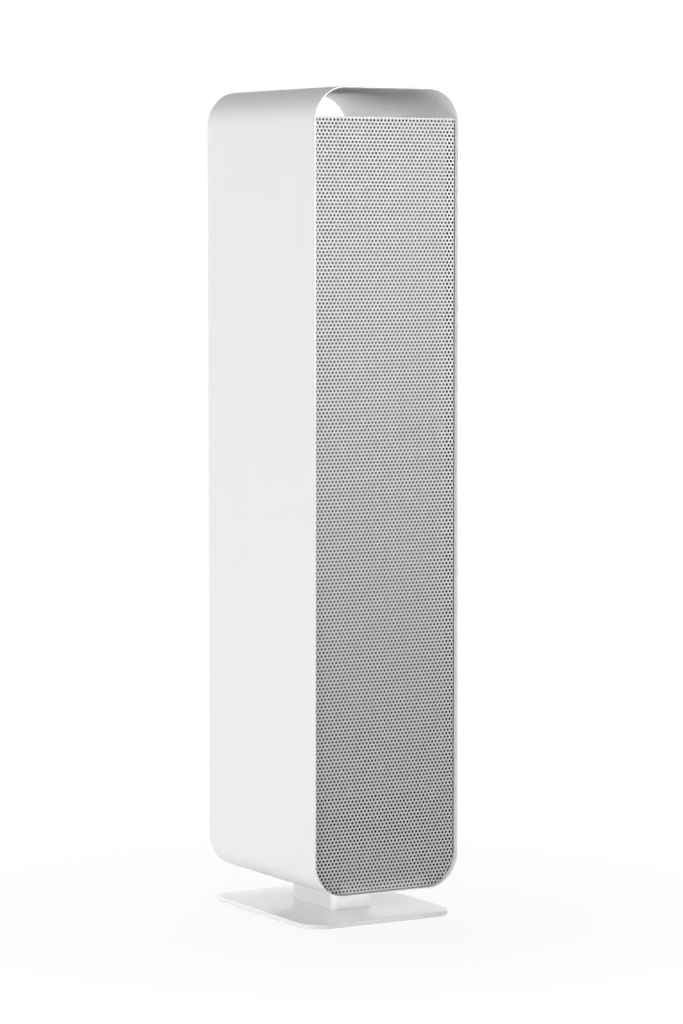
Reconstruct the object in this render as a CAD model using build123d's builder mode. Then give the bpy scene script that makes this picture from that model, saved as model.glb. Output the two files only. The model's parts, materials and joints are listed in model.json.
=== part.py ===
from build123d import *
import os
from math import atan2, cos, degrees, hypot, pi, sin, sqrt

# Tower air purifier: a sheet-metal sleeve, open at front and rear, arches over a deck to make a
# carrying handle and stands on a pedestal and a base plate. A perforated grille closes the front
# above a filter stack, two fans draw the air through, and it leaves by a perforated rear grille.
# Millimetres; X is the width, Y the depth with the front at -Y, Z is up from the floor.

os.makedirs("parts", exist_ok=True)

# Casing
BODY_WIDTH = 200.0
BODY_DEPTH = 265.0
BODY_HEIGHT = 967.0
CORNER_RADIUS = 42.0
SLEEVE_WALL = 2.0
HANDLE_GAP = 33.5

# Front and rear panels
PANEL_RECESS = 6.0
PANEL_SHEET = 1.5
PANEL_EDGE_GAP = 1.0
PANEL_SEAM = 1.0
PERF_PITCH = 50.0
PERF_HOLE = 30.0
PERF_BORDER = 5.0
MAGNET_THICKNESS = 3.0
MAGNET_HEIGHT = 6.0
MAGNET_END_GAP = 12.0
GRILLE_SEAT_GAP = 0.3

# Foot
BASE_WIDTH = 208.0
BASE_DEPTH = 250.0
BASE_THICKNESS = 6.0
BASE_CORNER_RADIUS = 26.0
BASE_EDGE_CHAMFER = 0.8
PEDESTAL_WIDTH = 57.0
PEDESTAL_DEPTH = 102.0
PEDESTAL_HEIGHT = 32.5
PEDESTAL_CORNER_RADIUS = 8.0
PEDESTAL_WALL = 5.0
PEDESTAL_TOP = 6.0
PEDESTAL_BOSS = 16.0
PAD_WIDTH = 16.0
PAD_LENGTH = 28.0
PAD_PROUD = 1.0
PAD_POCKET = 1.5
PAD_INSET = 32.0
BOLT_RADIUS = 4.0
BOLT_HEAD_RADIUS = 7.0
BOLT_HEAD_HEIGHT = 3.5
BOLT_INSET = 19.0
BOLT_GRIP = 18.0
BOLT_END_GAP = 2.0

# Folded chassis sheets
CHASSIS_SHEET = 1.5
CHASSIS_FLANGE = 16.0
CHASSIS_GAP = 0.4
TRAY_SHEET = 3.0
TRAY_LIP = 12.0
TRAY_EDGE_GAP = 1.0
BAY_HEIGHT = 118.0
SHELF_LIP = 20.0

# Filter stack, from the front to the rear
FILTER_LIP_GAP = 5.2
FILTER_SIDE_GAP = 3.2
FILTER_TOP_GAP = 5.5
PREFILTER_DEPTH = 8.0
PREFILTER_RIM = 6.0
PREFILTER_POCKET = 1.5
HEPA_DEPTH = 60.0
HEPA_WALL = 4.0
PLEAT_PITCH = 12.0
PLEAT_BAND = 8.0
PLEAT_GAP = 0.3
CARBON_DEPTH = 20.0
CARBON_RIM = 8.0
CARBON_POCKET = 2.0
GASKET_DEPTH = 4.0
GASKET_WIDTH = 10.0

# Fans
FAN_NAMES = ("lower", "upper")
FAN_SIDE_GAP = 13.0
BLADE_SPAN = 27.0
BELL_FLARE = 12.0
RING_SHEET = 2.0
RING_LENGTH = 26.0
RING_FLANGE = 10.0
EYE_GAP = 2.0
EYE_OVERLAP = 4.0
IMPELLER_SHEET = 2.0
BLADE_COUNT = 6
BLADE_WIDTH = 42.0
BLADE_THICKNESS = 2.0
BLADE_SWEEP = 48.0
BLADE_BOW = 5.0
HUB_RADIUS = 14.0
HUB_LENGTH = 14.0
SHAFT_RADIUS = 4.0
SHAFT_GRIP = 12.0
SHAFT_FIT = 0.02
BEARING_CLEARANCE = 0.05
MOTOR_GAP = 3.0
MOTOR_RADIUS = 38.0
MOTOR_LENGTH = 36.0
MOTOR_FLOOR = 3.0
MOTOR_CHAMFER = 4.0
BRACKET_SHEET = 2.5
BRACKET_SEAT = 5.0
BRACKET_ARM = 14.0
STANDOFF_RADIUS = 5.0
STANDOFF_INSET = 11.0
STANDOFF_RISE = 70.0

# Controls in the deck
CONTROL_LENGTH = 120.0
CONTROL_WIDTH = 32.0
CONTROL_CORNER = 6.0
CONTROL_RIM = 4.0
CONTROL_PROUD = 1.2
CONTROL_PLATE = 2.5
CONTROL_WALL = 1.5
CONTROL_CLEARANCE = 0.3
CONTROL_SETBACK = 15.0
BUTTON_NAMES = ("power_button", "speed_button", "mode_button")
BUTTON_RADIUS = 7.0
BUTTON_GAP = 0.3
BUTTON_PROUD = 0.8
BUTTON_TRAVEL = 1.0
BUTTON_RIM = 1.5
BUTTON_RIM_SHEET = 1.2
BUTTON_SPACING = 26.0
BUTTON_CROWN = 0.5
STEM_SIZE = 3.0
STEM_ENGAGE = 0.8
STEM_END_GAP = 1.2
SWITCH_GAP = 1.2
SWITCH_SIZE = 7.0
SWITCH_FLOOR = 1.0
LENS_LENGTH = 30.0
LENS_WIDTH = 2.5
LENS_INSET = 1.5
LENS_FIT = 0.05
BOARD_SHEET = 1.6

# Electrics in the bottom bay
SUPPLY_EDGE_GAP = 7.0
SUPPLY_DEPTH = 60.0
SUPPLY_HEIGHT = 42.0
SUPPLY_SETBACK = 10.0
SUPPLY_SLOTS = 7
SUPPLY_SLOT_WIDTH = 3.0
SUPPLY_SLOT_LENGTH = 40.0
SUPPLY_SLOT_DEPTH = 1.5
MAIN_BOARD_DEPTH = 54.0
BOARD_EDGE_GAP = 9.0
POST_HEIGHT = 8.0
BOARD_POST_RADIUS = 3.0
BOARD_POST_INSET = 5.0
COIL_SIZE = 18.0
CAPACITOR_RADIUS = 6.0
CAPACITOR_HEIGHT = 22.0
CAPACITOR_SPACING = 15.0
INLET_WIDTH = 28.0
INLET_HEIGHT = 20.5
INLET_CORNER = 5.0
INLET_RIM = 3.5
INLET_RIM_SHEET = 2.5
INLET_DEPTH = 24.0
INLET_WALL = 2.0
INLET_WELL = 18.0
INLET_CLEARANCE = 0.3
INLET_OFFSET = -24.0
PIN_WIDTH = 2.0
PIN_HEIGHT = 4.0
PIN_LENGTH = 15.0
PIN_SPACING = 7.0
PIN_STAGGER = 4.0
SENSOR_WIDTH = 36.0
SENSOR_HEIGHT = 40.0
SENSOR_DEPTH = 15.0
SENSOR_OFFSET = 26.0
SENSOR_PORT_WIDTH = 14.0
SENSOR_PORT_HEIGHT = 4.0
SENSOR_PORT_PITCH = 16.0
SENSOR_WELL = 4.0

# Clearances shared by the foot's bolts
BOLT_CLEARANCE = 0.3
THREAD_CLEARANCE = 0.05
PAD_CLEARANCE = 0.1

# Levels and faces that follow from the sizes above
BASE_BOTTOM = PAD_PROUD
BASE_TOP = BASE_BOTTOM + BASE_THICKNESS
BODY_BOTTOM = BASE_TOP + PEDESTAL_HEIGHT
BODY_TOP = BODY_BOTTOM + BODY_HEIGHT
BODY_MIDDLE = (BODY_BOTTOM + BODY_TOP) / 2
INNER_BOTTOM = BODY_BOTTOM + SLEEVE_WALL
INNER_TOP = BODY_TOP - SLEEVE_WALL
INNER_HALF = BODY_WIDTH / 2 - SLEEVE_WALL
INNER_HEIGHT = BODY_HEIGHT - 2 * SLEEVE_WALL
INNER_RADIUS = CORNER_RADIUS - SLEEVE_WALL
DECK_TOP = INNER_TOP - HANDLE_GAP
DECK_BOTTOM = DECK_TOP - CHASSIS_SHEET
TRAY_TOP = INNER_BOTTOM + TRAY_SHEET
SHELF_TOP = INNER_BOTTOM + BAY_HEIGHT
SHELF_BOTTOM = SHELF_TOP - CHASSIS_SHEET
SEAM_LEVEL = SHELF_TOP - SHELF_LIP / 2

FRONT_SEAT = -BODY_DEPTH / 2 + PANEL_RECESS + PANEL_SHEET
REAR_SEAT = BODY_DEPTH / 2 - PANEL_RECESS - PANEL_SHEET
MAGNET_FRONT = FRONT_SEAT + GRILLE_SEAT_GAP
LIP_FRONT = MAGNET_FRONT + MAGNET_THICKNESS

PREFILTER_FRONT = LIP_FRONT + CHASSIS_SHEET + FILTER_LIP_GAP
HEPA_FRONT = PREFILTER_FRONT + PREFILTER_DEPTH
CARBON_FRONT = HEPA_FRONT + HEPA_DEPTH
GASKET_FRONT = CARBON_FRONT + CARBON_DEPTH
BULKHEAD_FRONT = GASKET_FRONT + GASKET_DEPTH
BULKHEAD_REAR = BULKHEAD_FRONT + CHASSIS_SHEET
FILTER_TOP = DECK_BOTTOM - FILTER_TOP_GAP
FILTER_HEIGHT = FILTER_TOP - SHELF_TOP
FILTER_MIDDLE = (FILTER_TOP + SHELF_TOP) / 2


def upright(y):
    """Upright plane at depth y, facing the front."""
    return Plane.XZ.offset(-y)


def level(z):
    """Level plane at height z."""
    return Plane.XY.offset(z)


def inner_half_at(z):
    """Half the width inside the sleeve at height z, under its rounded top corners."""
    rise = max(0.0, z - (BODY_TOP - CORNER_RADIUS))
    return INNER_HALF - INNER_RADIUS + sqrt(INNER_RADIUS**2 - rise**2)


CHASSIS_HALF = inner_half_at(DECK_TOP) - CHASSIS_GAP
FILTER_WIDTH = 2 * (CHASSIS_HALF - CHASSIS_SHEET - FILTER_SIDE_GAP)
TRAY_WIDTH = BODY_WIDTH - 2 * CORNER_RADIUS - 2 * TRAY_EDGE_GAP
BOLT_SPACING = PEDESTAL_DEPTH - 2 * BOLT_INSET
CONTROL_Y = BULKHEAD_REAR + CONTROL_SETBACK + CONTROL_WIDTH / 2


def folded_sheet(front, rear, bottom, sheet, front_lip=0.0, rear_lip=0.0):
    """Side view of a folded sheet on a YZ sketch: lips above zero stand up, below zero hang down."""
    with Locations(((front + rear) / 2, bottom + sheet / 2)):
        Rectangle(rear - front, sheet)
    for edge, inward, lip in ((front, 1, front_lip), (rear, -1, rear_lip)):
        if lip:
            start = bottom if lip > 0 else bottom + sheet
            with Locations((edge + inward * sheet / 2, start + lip / 2)):
                Rectangle(sheet, abs(lip))


def side_flanges(front, rear, bottom, top):
    """A pair of upright flanges along the inside of the sleeve's walls."""
    for side in (-1, 1):
        with Locations((side * (CHASSIS_HALF - CHASSIS_SHEET / 2), (front + rear) / 2, (bottom + top) / 2)):
            Box(CHASSIS_SHEET, rear - front, top - bottom)


# Perforated panels share one outline: the inside of the sleeve less the edge gap
FACE_HALF = INNER_HALF - PANEL_EDGE_GAP
FACE_BOTTOM = INNER_BOTTOM + PANEL_EDGE_GAP
FACE_RADIUS = INNER_RADIUS - PANEL_EDGE_GAP
HOLE_REACH = PERF_HOLE / 2 + PERF_BORDER


def panel_outline(bottom, top):
    """Panel outline on an upright sketch, cut level at bottom and top."""
    with Locations((0, BODY_MIDDLE)):
        RectangleRounded(2 * FACE_HALF, INNER_HEIGHT - 2 * PANEL_EDGE_GAP, FACE_RADIUS)
    with Locations((0, (bottom + top) / 2)):
        Rectangle(BODY_WIDTH, top - bottom, mode=Mode.INTERSECT)


def hole_fits(x, z):
    """True where a hole keeps its border from the sides and the rounded lower corners."""
    past_x = max(0.0, abs(x) - (FACE_HALF - FACE_RADIUS))
    past_z = max(0.0, FACE_BOTTOM + FACE_RADIUS - z)
    return hypot(past_x, past_z) <= FACE_RADIUS - HOLE_REACH


def perforation(bottom, top):
    """Staggered six-sided holes over a panel, in rows centred between bottom and top."""
    row_step = PERF_PITCH * sqrt(3) / 2
    rows = int((top - bottom - 2 * HOLE_REACH) / row_step) + 1
    first_row = (bottom + top - (rows - 1) * row_step) / 2
    columns = int(FACE_HALF / PERF_PITCH) + 1
    centres = []
    for row in range(rows):
        z = first_row + row * row_step
        for column in range(-columns, columns + 1):
            x = (column + 0.5 * (row % 2)) * PERF_PITCH
            if hole_fits(x, z):
                centres.append((x, z))
    with Locations(*centres):
        RegularPolygon(PERF_HOLE / 2, 6, major_radius=False, rotation=30, mode=Mode.SUBTRACT)


# Outer sleeve: one closed loop of sheet, welded to the top of the foot by its floor
with BuildPart() as outer_sleeve:
    with BuildSketch(Plane.XZ):
        with Locations((0, BODY_MIDDLE)):
            RectangleRounded(BODY_WIDTH, BODY_HEIGHT, CORNER_RADIUS)
            RectangleRounded(2 * INNER_HALF, INNER_HEIGHT, INNER_RADIUS, mode=Mode.SUBTRACT)
    extrude(amount=BODY_DEPTH / 2, both=True)
outer_sleeve.part.label = "outer_sleeve"
export_step(outer_sleeve.part, "parts/outer_sleeve.step")

# Front grille: perforated sheet held by two magnet strips, pulled off forwards
with BuildPart() as front_grille:
    with BuildSketch(upright(FRONT_SEAT)):
        panel_outline(INNER_BOTTOM, DECK_TOP)
        perforation(FACE_BOTTOM, DECK_TOP)
    extrude(amount=PANEL_SHEET)
front_grille.part.label = "front_grille"
export_step(front_grille.part, "parts/front_grille.step")

# Rear grille: perforated air outlet, screwed to the lips of the deck and the shelf
with BuildPart() as rear_grille:
    with BuildSketch(upright(REAR_SEAT + PANEL_SHEET)):
        panel_outline(SEAM_LEVEL + PANEL_SEAM / 2, DECK_TOP)
        perforation(SHELF_TOP, DECK_TOP)
    extrude(amount=PANEL_SHEET)
rear_grille.part.label = "rear_grille"
export_step(rear_grille.part, "parts/rear_grille.step")

# Service panel: closes the rear of the bottom bay and holds the mains inlet
INLET_Z = (INNER_BOTTOM + TRAY_LIP + SHELF_TOP - SHELF_LIP) / 2
with BuildPart() as service_panel:
    with BuildSketch(upright(REAR_SEAT + PANEL_SHEET)):
        panel_outline(INNER_BOTTOM, SEAM_LEVEL - PANEL_SEAM / 2)
        with Locations((INLET_OFFSET, INLET_Z)):
            RectangleRounded(
                INLET_WIDTH + 2 * INLET_CLEARANCE,
                INLET_HEIGHT + 2 * INLET_CLEARANCE,
                INLET_CORNER,
                mode=Mode.SUBTRACT,
            )
        with Locations((SENSOR_OFFSET, INLET_Z)):
            with GridLocations(1, SENSOR_PORT_PITCH, 1, 2):
                Rectangle(SENSOR_PORT_WIDTH, SENSOR_PORT_HEIGHT, mode=Mode.SUBTRACT)
    extrude(amount=PANEL_SHEET)
service_panel.part.label = "service_panel"
export_step(service_panel.part, "parts/service_panel.step")

# Top deck: folded sheet under the handle, cut out for the controls
with BuildPart() as top_deck:
    with BuildSketch(Plane.YZ):
        folded_sheet(LIP_FRONT, REAR_SEAT, DECK_BOTTOM, CHASSIS_SHEET, -CHASSIS_FLANGE, -CHASSIS_FLANGE)
        folded_sheet(MAGNET_FRONT, LIP_FRONT, DECK_BOTTOM, CHASSIS_SHEET)
    extrude(amount=CHASSIS_HALF, both=True)
    side_flanges(LIP_FRONT, REAR_SEAT, DECK_TOP - CHASSIS_FLANGE, DECK_TOP)
    with BuildSketch(level(DECK_BOTTOM)):
        with Locations((0, CONTROL_Y)):
            RectangleRounded(CONTROL_LENGTH, CONTROL_WIDTH, CONTROL_CORNER)
    extrude(amount=CHASSIS_SHEET, mode=Mode.SUBTRACT)
top_deck.part.label = "top_deck"
export_step(top_deck.part, "parts/top_deck.step")

# Bay shelf: carries the filter stack above the bottom bay
with BuildPart() as bay_shelf:
    with BuildSketch(Plane.YZ):
        folded_sheet(PREFILTER_FRONT, REAR_SEAT, SHELF_BOTTOM, CHASSIS_SHEET, 0.0, -SHELF_LIP)
    extrude(amount=CHASSIS_HALF, both=True)
    side_flanges(PREFILTER_FRONT, REAR_SEAT, SHELF_TOP - CHASSIS_FLANGE, SHELF_TOP)
bay_shelf.part.label = "bay_shelf"
export_step(bay_shelf.part, "parts/bay_shelf.step")

# Chassis tray: stiffens the sleeve's floor over the foot and carries the electrics
with BuildPart() as chassis_tray:
    with BuildSketch(Plane.YZ):
        folded_sheet(LIP_FRONT, REAR_SEAT, INNER_BOTTOM, TRAY_SHEET, TRAY_LIP, TRAY_LIP)
    extrude(amount=TRAY_WIDTH / 2, both=True)
chassis_tray.part.label = "chassis_tray"
export_step(chassis_tray.part, "parts/chassis_tray.step")

# Magnet strips: one on the deck's front lip, one on the tray's front lip
with BuildPart() as top_magnet_strip:
    with Locations((0, LIP_FRONT, DECK_BOTTOM)):
        Box(
            2 * (CHASSIS_HALF - MAGNET_END_GAP),
            MAGNET_THICKNESS,
            MAGNET_HEIGHT,
            align=(Align.CENTER, Align.MAX, Align.MAX),
        )
top_magnet_strip.part.label = "top_magnet_strip"
export_step(top_magnet_strip.part, "parts/top_magnet_strip.step")

with BuildPart() as bottom_magnet_strip:
    with Locations((0, LIP_FRONT, INNER_BOTTOM + TRAY_LIP)):
        Box(
            TRAY_WIDTH - 2 * MAGNET_END_GAP,
            MAGNET_THICKNESS,
            MAGNET_HEIGHT,
            align=(Align.CENTER, Align.MAX, Align.MAX),
        )
bottom_magnet_strip.part.label = "bottom_magnet_strip"
export_step(bottom_magnet_strip.part, "parts/bottom_magnet_strip.step")

# Prefilter: fleece mat in a thin rim, just behind the front grille
with BuildPart() as prefilter:
    with BuildSketch(upright(PREFILTER_FRONT)):
        with Locations((0, FILTER_MIDDLE)):
            Rectangle(FILTER_WIDTH, FILTER_HEIGHT)
    extrude(amount=-PREFILTER_DEPTH)
    with BuildSketch(upright(PREFILTER_FRONT)):
        with Locations((0, FILTER_MIDDLE)):
            Rectangle(FILTER_WIDTH - 2 * PREFILTER_RIM, FILTER_HEIGHT - 2 * PREFILTER_RIM)
    extrude(amount=-PREFILTER_POCKET, mode=Mode.SUBTRACT)
prefilter.part.label = "prefilter"
export_step(prefilter.part, "parts/prefilter.step")

# Particle filter: an open frame around a pack of upright pleats
HEPA_INNER_WIDTH = FILTER_WIDTH - 2 * HEPA_WALL
HEPA_INNER_HEIGHT = FILTER_HEIGHT - 2 * HEPA_WALL
with BuildPart() as hepa_frame:
    with BuildSketch(upright(HEPA_FRONT)):
        with Locations((0, FILTER_MIDDLE)):
            Rectangle(FILTER_WIDTH, FILTER_HEIGHT)
            Rectangle(HEPA_INNER_WIDTH, HEPA_INNER_HEIGHT, mode=Mode.SUBTRACT)
    extrude(amount=-HEPA_DEPTH)
hepa_frame.part.label = "hepa_frame"
export_step(hepa_frame.part, "parts/hepa_frame.step")

PLEAT_WIDTH = HEPA_INNER_WIDTH - 2 * PLEAT_GAP
PLEAT_COUNT = max(2, round(PLEAT_WIDTH / PLEAT_PITCH))
PLEAT_STEP = PLEAT_WIDTH / (2 * PLEAT_COUNT)
PLEAT_FRONT = HEPA_FRONT + PLEAT_GAP
PLEAT_FOLD = HEPA_DEPTH - 2 * PLEAT_GAP - PLEAT_BAND
front_folds = []
for fold in range(2 * PLEAT_COUNT + 1):
    front_folds.append((-PLEAT_WIDTH / 2 + fold * PLEAT_STEP, PLEAT_FRONT + PLEAT_FOLD * (fold % 2)))
rear_folds = [(x, y + PLEAT_BAND) for x, y in reversed(front_folds)]
with BuildPart() as hepa_media:
    with BuildSketch(level(SHELF_TOP + HEPA_WALL)):
        with BuildLine():
            Polyline(*front_folds, *rear_folds, close=True)
        make_face()
    extrude(amount=HEPA_INNER_HEIGHT)
hepa_media.part.label = "hepa_media"
export_step(hepa_media.part, "parts/hepa_media.step")

# Carbon filter: granule panel with a rim on both faces
with BuildPart() as carbon_filter:
    with BuildSketch(upright(CARBON_FRONT)):
        with Locations((0, FILTER_MIDDLE)):
            Rectangle(FILTER_WIDTH, FILTER_HEIGHT)
    extrude(amount=-CARBON_DEPTH)
    for face_y, into in ((CARBON_FRONT, -CARBON_POCKET), (GASKET_FRONT, CARBON_POCKET)):
        with BuildSketch(upright(face_y)):
            with Locations((0, FILTER_MIDDLE)):
                Rectangle(FILTER_WIDTH - 2 * CARBON_RIM, FILTER_HEIGHT - 2 * CARBON_RIM)
        extrude(amount=into, mode=Mode.SUBTRACT)
carbon_filter.part.label = "carbon_filter"
export_step(carbon_filter.part, "parts/carbon_filter.step")

# Filter gasket: foam ring that seals the stack against the bulkhead
with BuildPart() as filter_gasket:
    with BuildSketch(upright(GASKET_FRONT)):
        with Locations((0, FILTER_MIDDLE)):
            Rectangle(FILTER_WIDTH, FILTER_HEIGHT)
            Rectangle(FILTER_WIDTH - 2 * GASKET_WIDTH, FILTER_HEIGHT - 2 * GASKET_WIDTH, mode=Mode.SUBTRACT)
    extrude(amount=-GASKET_DEPTH)
filter_gasket.part.label = "filter_gasket"
export_step(filter_gasket.part, "parts/filter_gasket.step")

# Fan layout: both fans hang on the bulkhead, one in each half of the air chamber
CHAMBER_HEIGHT = DECK_BOTTOM - SHELF_TOP
FAN_STEP = CHAMBER_HEIGHT / len(FAN_NAMES)
FAN_LEVELS = [SHELF_TOP + FAN_STEP * (index + 0.5) for index in range(len(FAN_NAMES))]
IMPELLER_RADIUS = INNER_HALF - FAN_SIDE_GAP
EYE_RADIUS = IMPELLER_RADIUS - BLADE_SPAN
THROAT_RADIUS = EYE_RADIUS - EYE_GAP - RING_SHEET
BELL_MOUTH = THROAT_RADIUS + BELL_FLARE
RING_END = BULKHEAD_REAR + RING_LENGTH
SHROUD_FRONT = RING_END - EYE_OVERLAP
BLADE_FRONT = SHROUD_FRONT + IMPELLER_SHEET
BACK_PLATE_FRONT = BLADE_FRONT + BLADE_WIDTH
BACK_PLATE_REAR = BACK_PLATE_FRONT + IMPELLER_SHEET
MOTOR_FRONT = BACK_PLATE_REAR + MOTOR_GAP
MOTOR_REAR = MOTOR_FRONT + MOTOR_LENGTH
STANDOFF_X = INNER_HALF - STANDOFF_INSET

# Fan bulkhead: upright wall between the filter stack and the fans
with BuildPart() as fan_bulkhead:
    with BuildSketch(upright(BULKHEAD_FRONT)):
        with Locations((0, (SHELF_TOP + DECK_BOTTOM) / 2)):
            Rectangle(2 * CHASSIS_HALF, CHAMBER_HEIGHT)
        with Locations(*[(0, fan_level) for fan_level in FAN_LEVELS]):
            Circle(BELL_MOUTH, mode=Mode.SUBTRACT)
        with Locations((0, DECK_TOP - CHASSIS_FLANGE / 2)):
            with GridLocations(2 * CHASSIS_HALF - CHASSIS_SHEET, 1, 2, 1):
                Rectangle(CHASSIS_SHEET, CHASSIS_FLANGE, mode=Mode.SUBTRACT)
    extrude(amount=-CHASSIS_SHEET)
    side_flanges(BULKHEAD_FRONT, BULKHEAD_FRONT + CHASSIS_FLANGE, SHELF_TOP, DECK_TOP - CHASSIS_FLANGE)
fan_bulkhead.part.label = "fan_bulkhead"
export_step(fan_bulkhead.part, "parts/fan_bulkhead.step")

# One backward-curved blade, drawn flat and then repeated round the hub
BLADE_TIP = IMPELLER_RADIUS - BLADE_THICKNESS
sweep_angle = BLADE_SWEEP * pi / 180
blade_start = Vector(EYE_RADIUS, 0)
blade_end = Vector(BLADE_TIP * cos(sweep_angle), BLADE_TIP * sin(sweep_angle))
blade_chord = (blade_end - blade_start).normalized()
blade_middle = (blade_start + blade_end) / 2 + Vector(blade_chord.Y, -blade_chord.X) * BLADE_BOW
with BuildSketch() as blade_section:
    with BuildLine():
        ThreePointArc(blade_start, blade_middle, blade_end)
    trace(line_width=BLADE_THICKNESS)

for fan_name, fan_level in zip(FAN_NAMES, FAN_LEVELS):
    fan_axis = Axis((0, 0, fan_level), (0, 1, 0))

    # Inlet ring: flared mouth on the bulkhead that leads into the impeller's eye
    flange_radius = BELL_MOUTH + RING_FLANGE
    with BuildPart() as inlet_ring:
        with BuildSketch(level(fan_level)):
            with BuildLine():
                Polyline(
                    (flange_radius, BULKHEAD_REAR),
                    (BELL_MOUTH, BULKHEAD_REAR),
                    (THROAT_RADIUS, RING_END),
                    (THROAT_RADIUS + RING_SHEET, RING_END),
                    (BELL_MOUTH + RING_SHEET, BULKHEAD_REAR + RING_SHEET),
                    (flange_radius, BULKHEAD_REAR + RING_SHEET),
                    close=True,
                )
            make_face()
        revolve(axis=fan_axis)
    inlet_ring.part.label = f"{fan_name}_inlet_ring"
    export_step(inlet_ring.part, f"parts/{fan_name}_inlet_ring.step")

    # Impeller: back plate, hub, swept blades and a front shroud with an open eye
    blade_plane = Plane((0, BLADE_FRONT, fan_level), x_dir=(1, 0, 0), z_dir=(0, -1, 0))
    shroud_plane = blade_plane.offset(IMPELLER_SHEET)
    back_plane = blade_plane.offset(-BLADE_WIDTH)
    with BuildPart() as impeller:
        with BuildSketch(back_plane):
            Circle(IMPELLER_RADIUS)
        extrude(amount=-IMPELLER_SHEET)
        with BuildSketch(back_plane):
            Circle(HUB_RADIUS)
        extrude(amount=HUB_LENGTH)
        with BuildSketch(blade_plane):
            with PolarLocations(0, BLADE_COUNT):
                add(blade_section.sketch)
        extrude(amount=-BLADE_WIDTH)
        with BuildSketch(shroud_plane):
            Circle(IMPELLER_RADIUS)
            Circle(EYE_RADIUS, mode=Mode.SUBTRACT)
        extrude(amount=-IMPELLER_SHEET)
        with BuildSketch(back_plane.offset(HUB_LENGTH)):
            Circle(SHAFT_RADIUS + SHAFT_FIT)
        extrude(amount=-(HUB_LENGTH + IMPELLER_SHEET), mode=Mode.SUBTRACT)
    impeller.part.label = f"{fan_name}_impeller"
    export_step(impeller.part, f"parts/{fan_name}_impeller.step")

    # Shaft: gripped by the hub and running in the motor's bearings
    with BuildPart() as shaft:
        with BuildSketch(back_plane.offset(SHAFT_GRIP)):
            Circle(SHAFT_RADIUS)
        extrude(amount=-(SHAFT_GRIP + IMPELLER_SHEET + MOTOR_GAP + MOTOR_LENGTH - MOTOR_FLOOR))
    shaft.part.label = f"{fan_name}_fan_shaft"
    export_step(shaft.part, f"parts/{fan_name}_fan_shaft.step")

    # Motor: round can with a through bore for the shaft
    motor_plane = Plane((0, MOTOR_REAR, fan_level), x_dir=(1, 0, 0), z_dir=(0, -1, 0))
    with BuildPart() as motor:
        with BuildSketch(motor_plane):
            Circle(MOTOR_RADIUS)
        extrude(amount=MOTOR_LENGTH)
        chamfer(motor.edges().group_by(Axis.Y)[0], MOTOR_CHAMFER)
        with BuildSketch(motor_plane):
            Circle(SHAFT_RADIUS + BEARING_CLEARANCE)
        extrude(amount=MOTOR_LENGTH, mode=Mode.SUBTRACT)
    motor.part.label = f"{fan_name}_fan_motor"
    export_step(motor.part, f"parts/{fan_name}_fan_motor.step")

    # Motor bracket: four arms from the motor's seat to the standoffs
    arm_length = 2 * (hypot(STANDOFF_X, STANDOFF_RISE) + STANDOFF_RADIUS)
    arm_angle = degrees(atan2(STANDOFF_RISE, STANDOFF_X))
    bracket_plane = motor_plane.offset(-BRACKET_SHEET)
    with BuildPart() as bracket:
        with BuildSketch(bracket_plane):
            Circle(MOTOR_RADIUS + BRACKET_SEAT)
            Rectangle(arm_length, BRACKET_ARM, rotation=arm_angle)
            Rectangle(arm_length, BRACKET_ARM, rotation=-arm_angle)
        extrude(amount=BRACKET_SHEET)
    bracket.part.label = f"{fan_name}_motor_bracket"
    export_step(bracket.part, f"parts/{fan_name}_motor_bracket.step")

# Fan standoffs: six-sided posts from the bulkhead to both motor brackets
with BuildPart() as fan_standoffs:
    with BuildSketch(upright(BULKHEAD_REAR)):
        for fan_level in FAN_LEVELS:
            with Locations((0, fan_level)):
                with GridLocations(2 * STANDOFF_X, 2 * STANDOFF_RISE, 2, 2):
                    RegularPolygon(STANDOFF_RADIUS, 6)
    extrude(amount=-(MOTOR_REAR - BULKHEAD_REAR))
fan_standoffs.part.label = "fan_standoffs"
export_step(fan_standoffs.part, "parts/fan_standoffs.step")

# Control panel: moulded plate in the deck's cut-out with button holes and a skirt below
PLATE_TOP = DECK_TOP + CONTROL_PROUD
PLATE_BOTTOM = PLATE_TOP - CONTROL_PLATE
RIM_TOP = PLATE_BOTTOM - BUTTON_GAP
RIM_BOTTOM = RIM_TOP - BUTTON_RIM_SHEET
SWITCH_TOP = RIM_BOTTOM - BUTTON_TRAVEL - SWITCH_GAP
SWITCH_WELL = STEM_ENGAGE + BUTTON_TRAVEL + STEM_END_GAP
SWITCH_HEIGHT = SWITCH_FLOOR + SWITCH_WELL
SKIRT_BOTTOM = SWITCH_TOP - SWITCH_HEIGHT
SKIRT_LENGTH = CONTROL_LENGTH - 2 * CONTROL_CLEARANCE
SKIRT_WIDTH = CONTROL_WIDTH - 2 * CONTROL_CLEARANCE
BUTTON_XS = [(index - (len(BUTTON_NAMES) - 1) / 2) * BUTTON_SPACING for index in range(len(BUTTON_NAMES))]
LENS_Y = CONTROL_Y + SKIRT_WIDTH / 2 - CONTROL_WALL - LENS_INSET - LENS_WIDTH / 2
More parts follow.
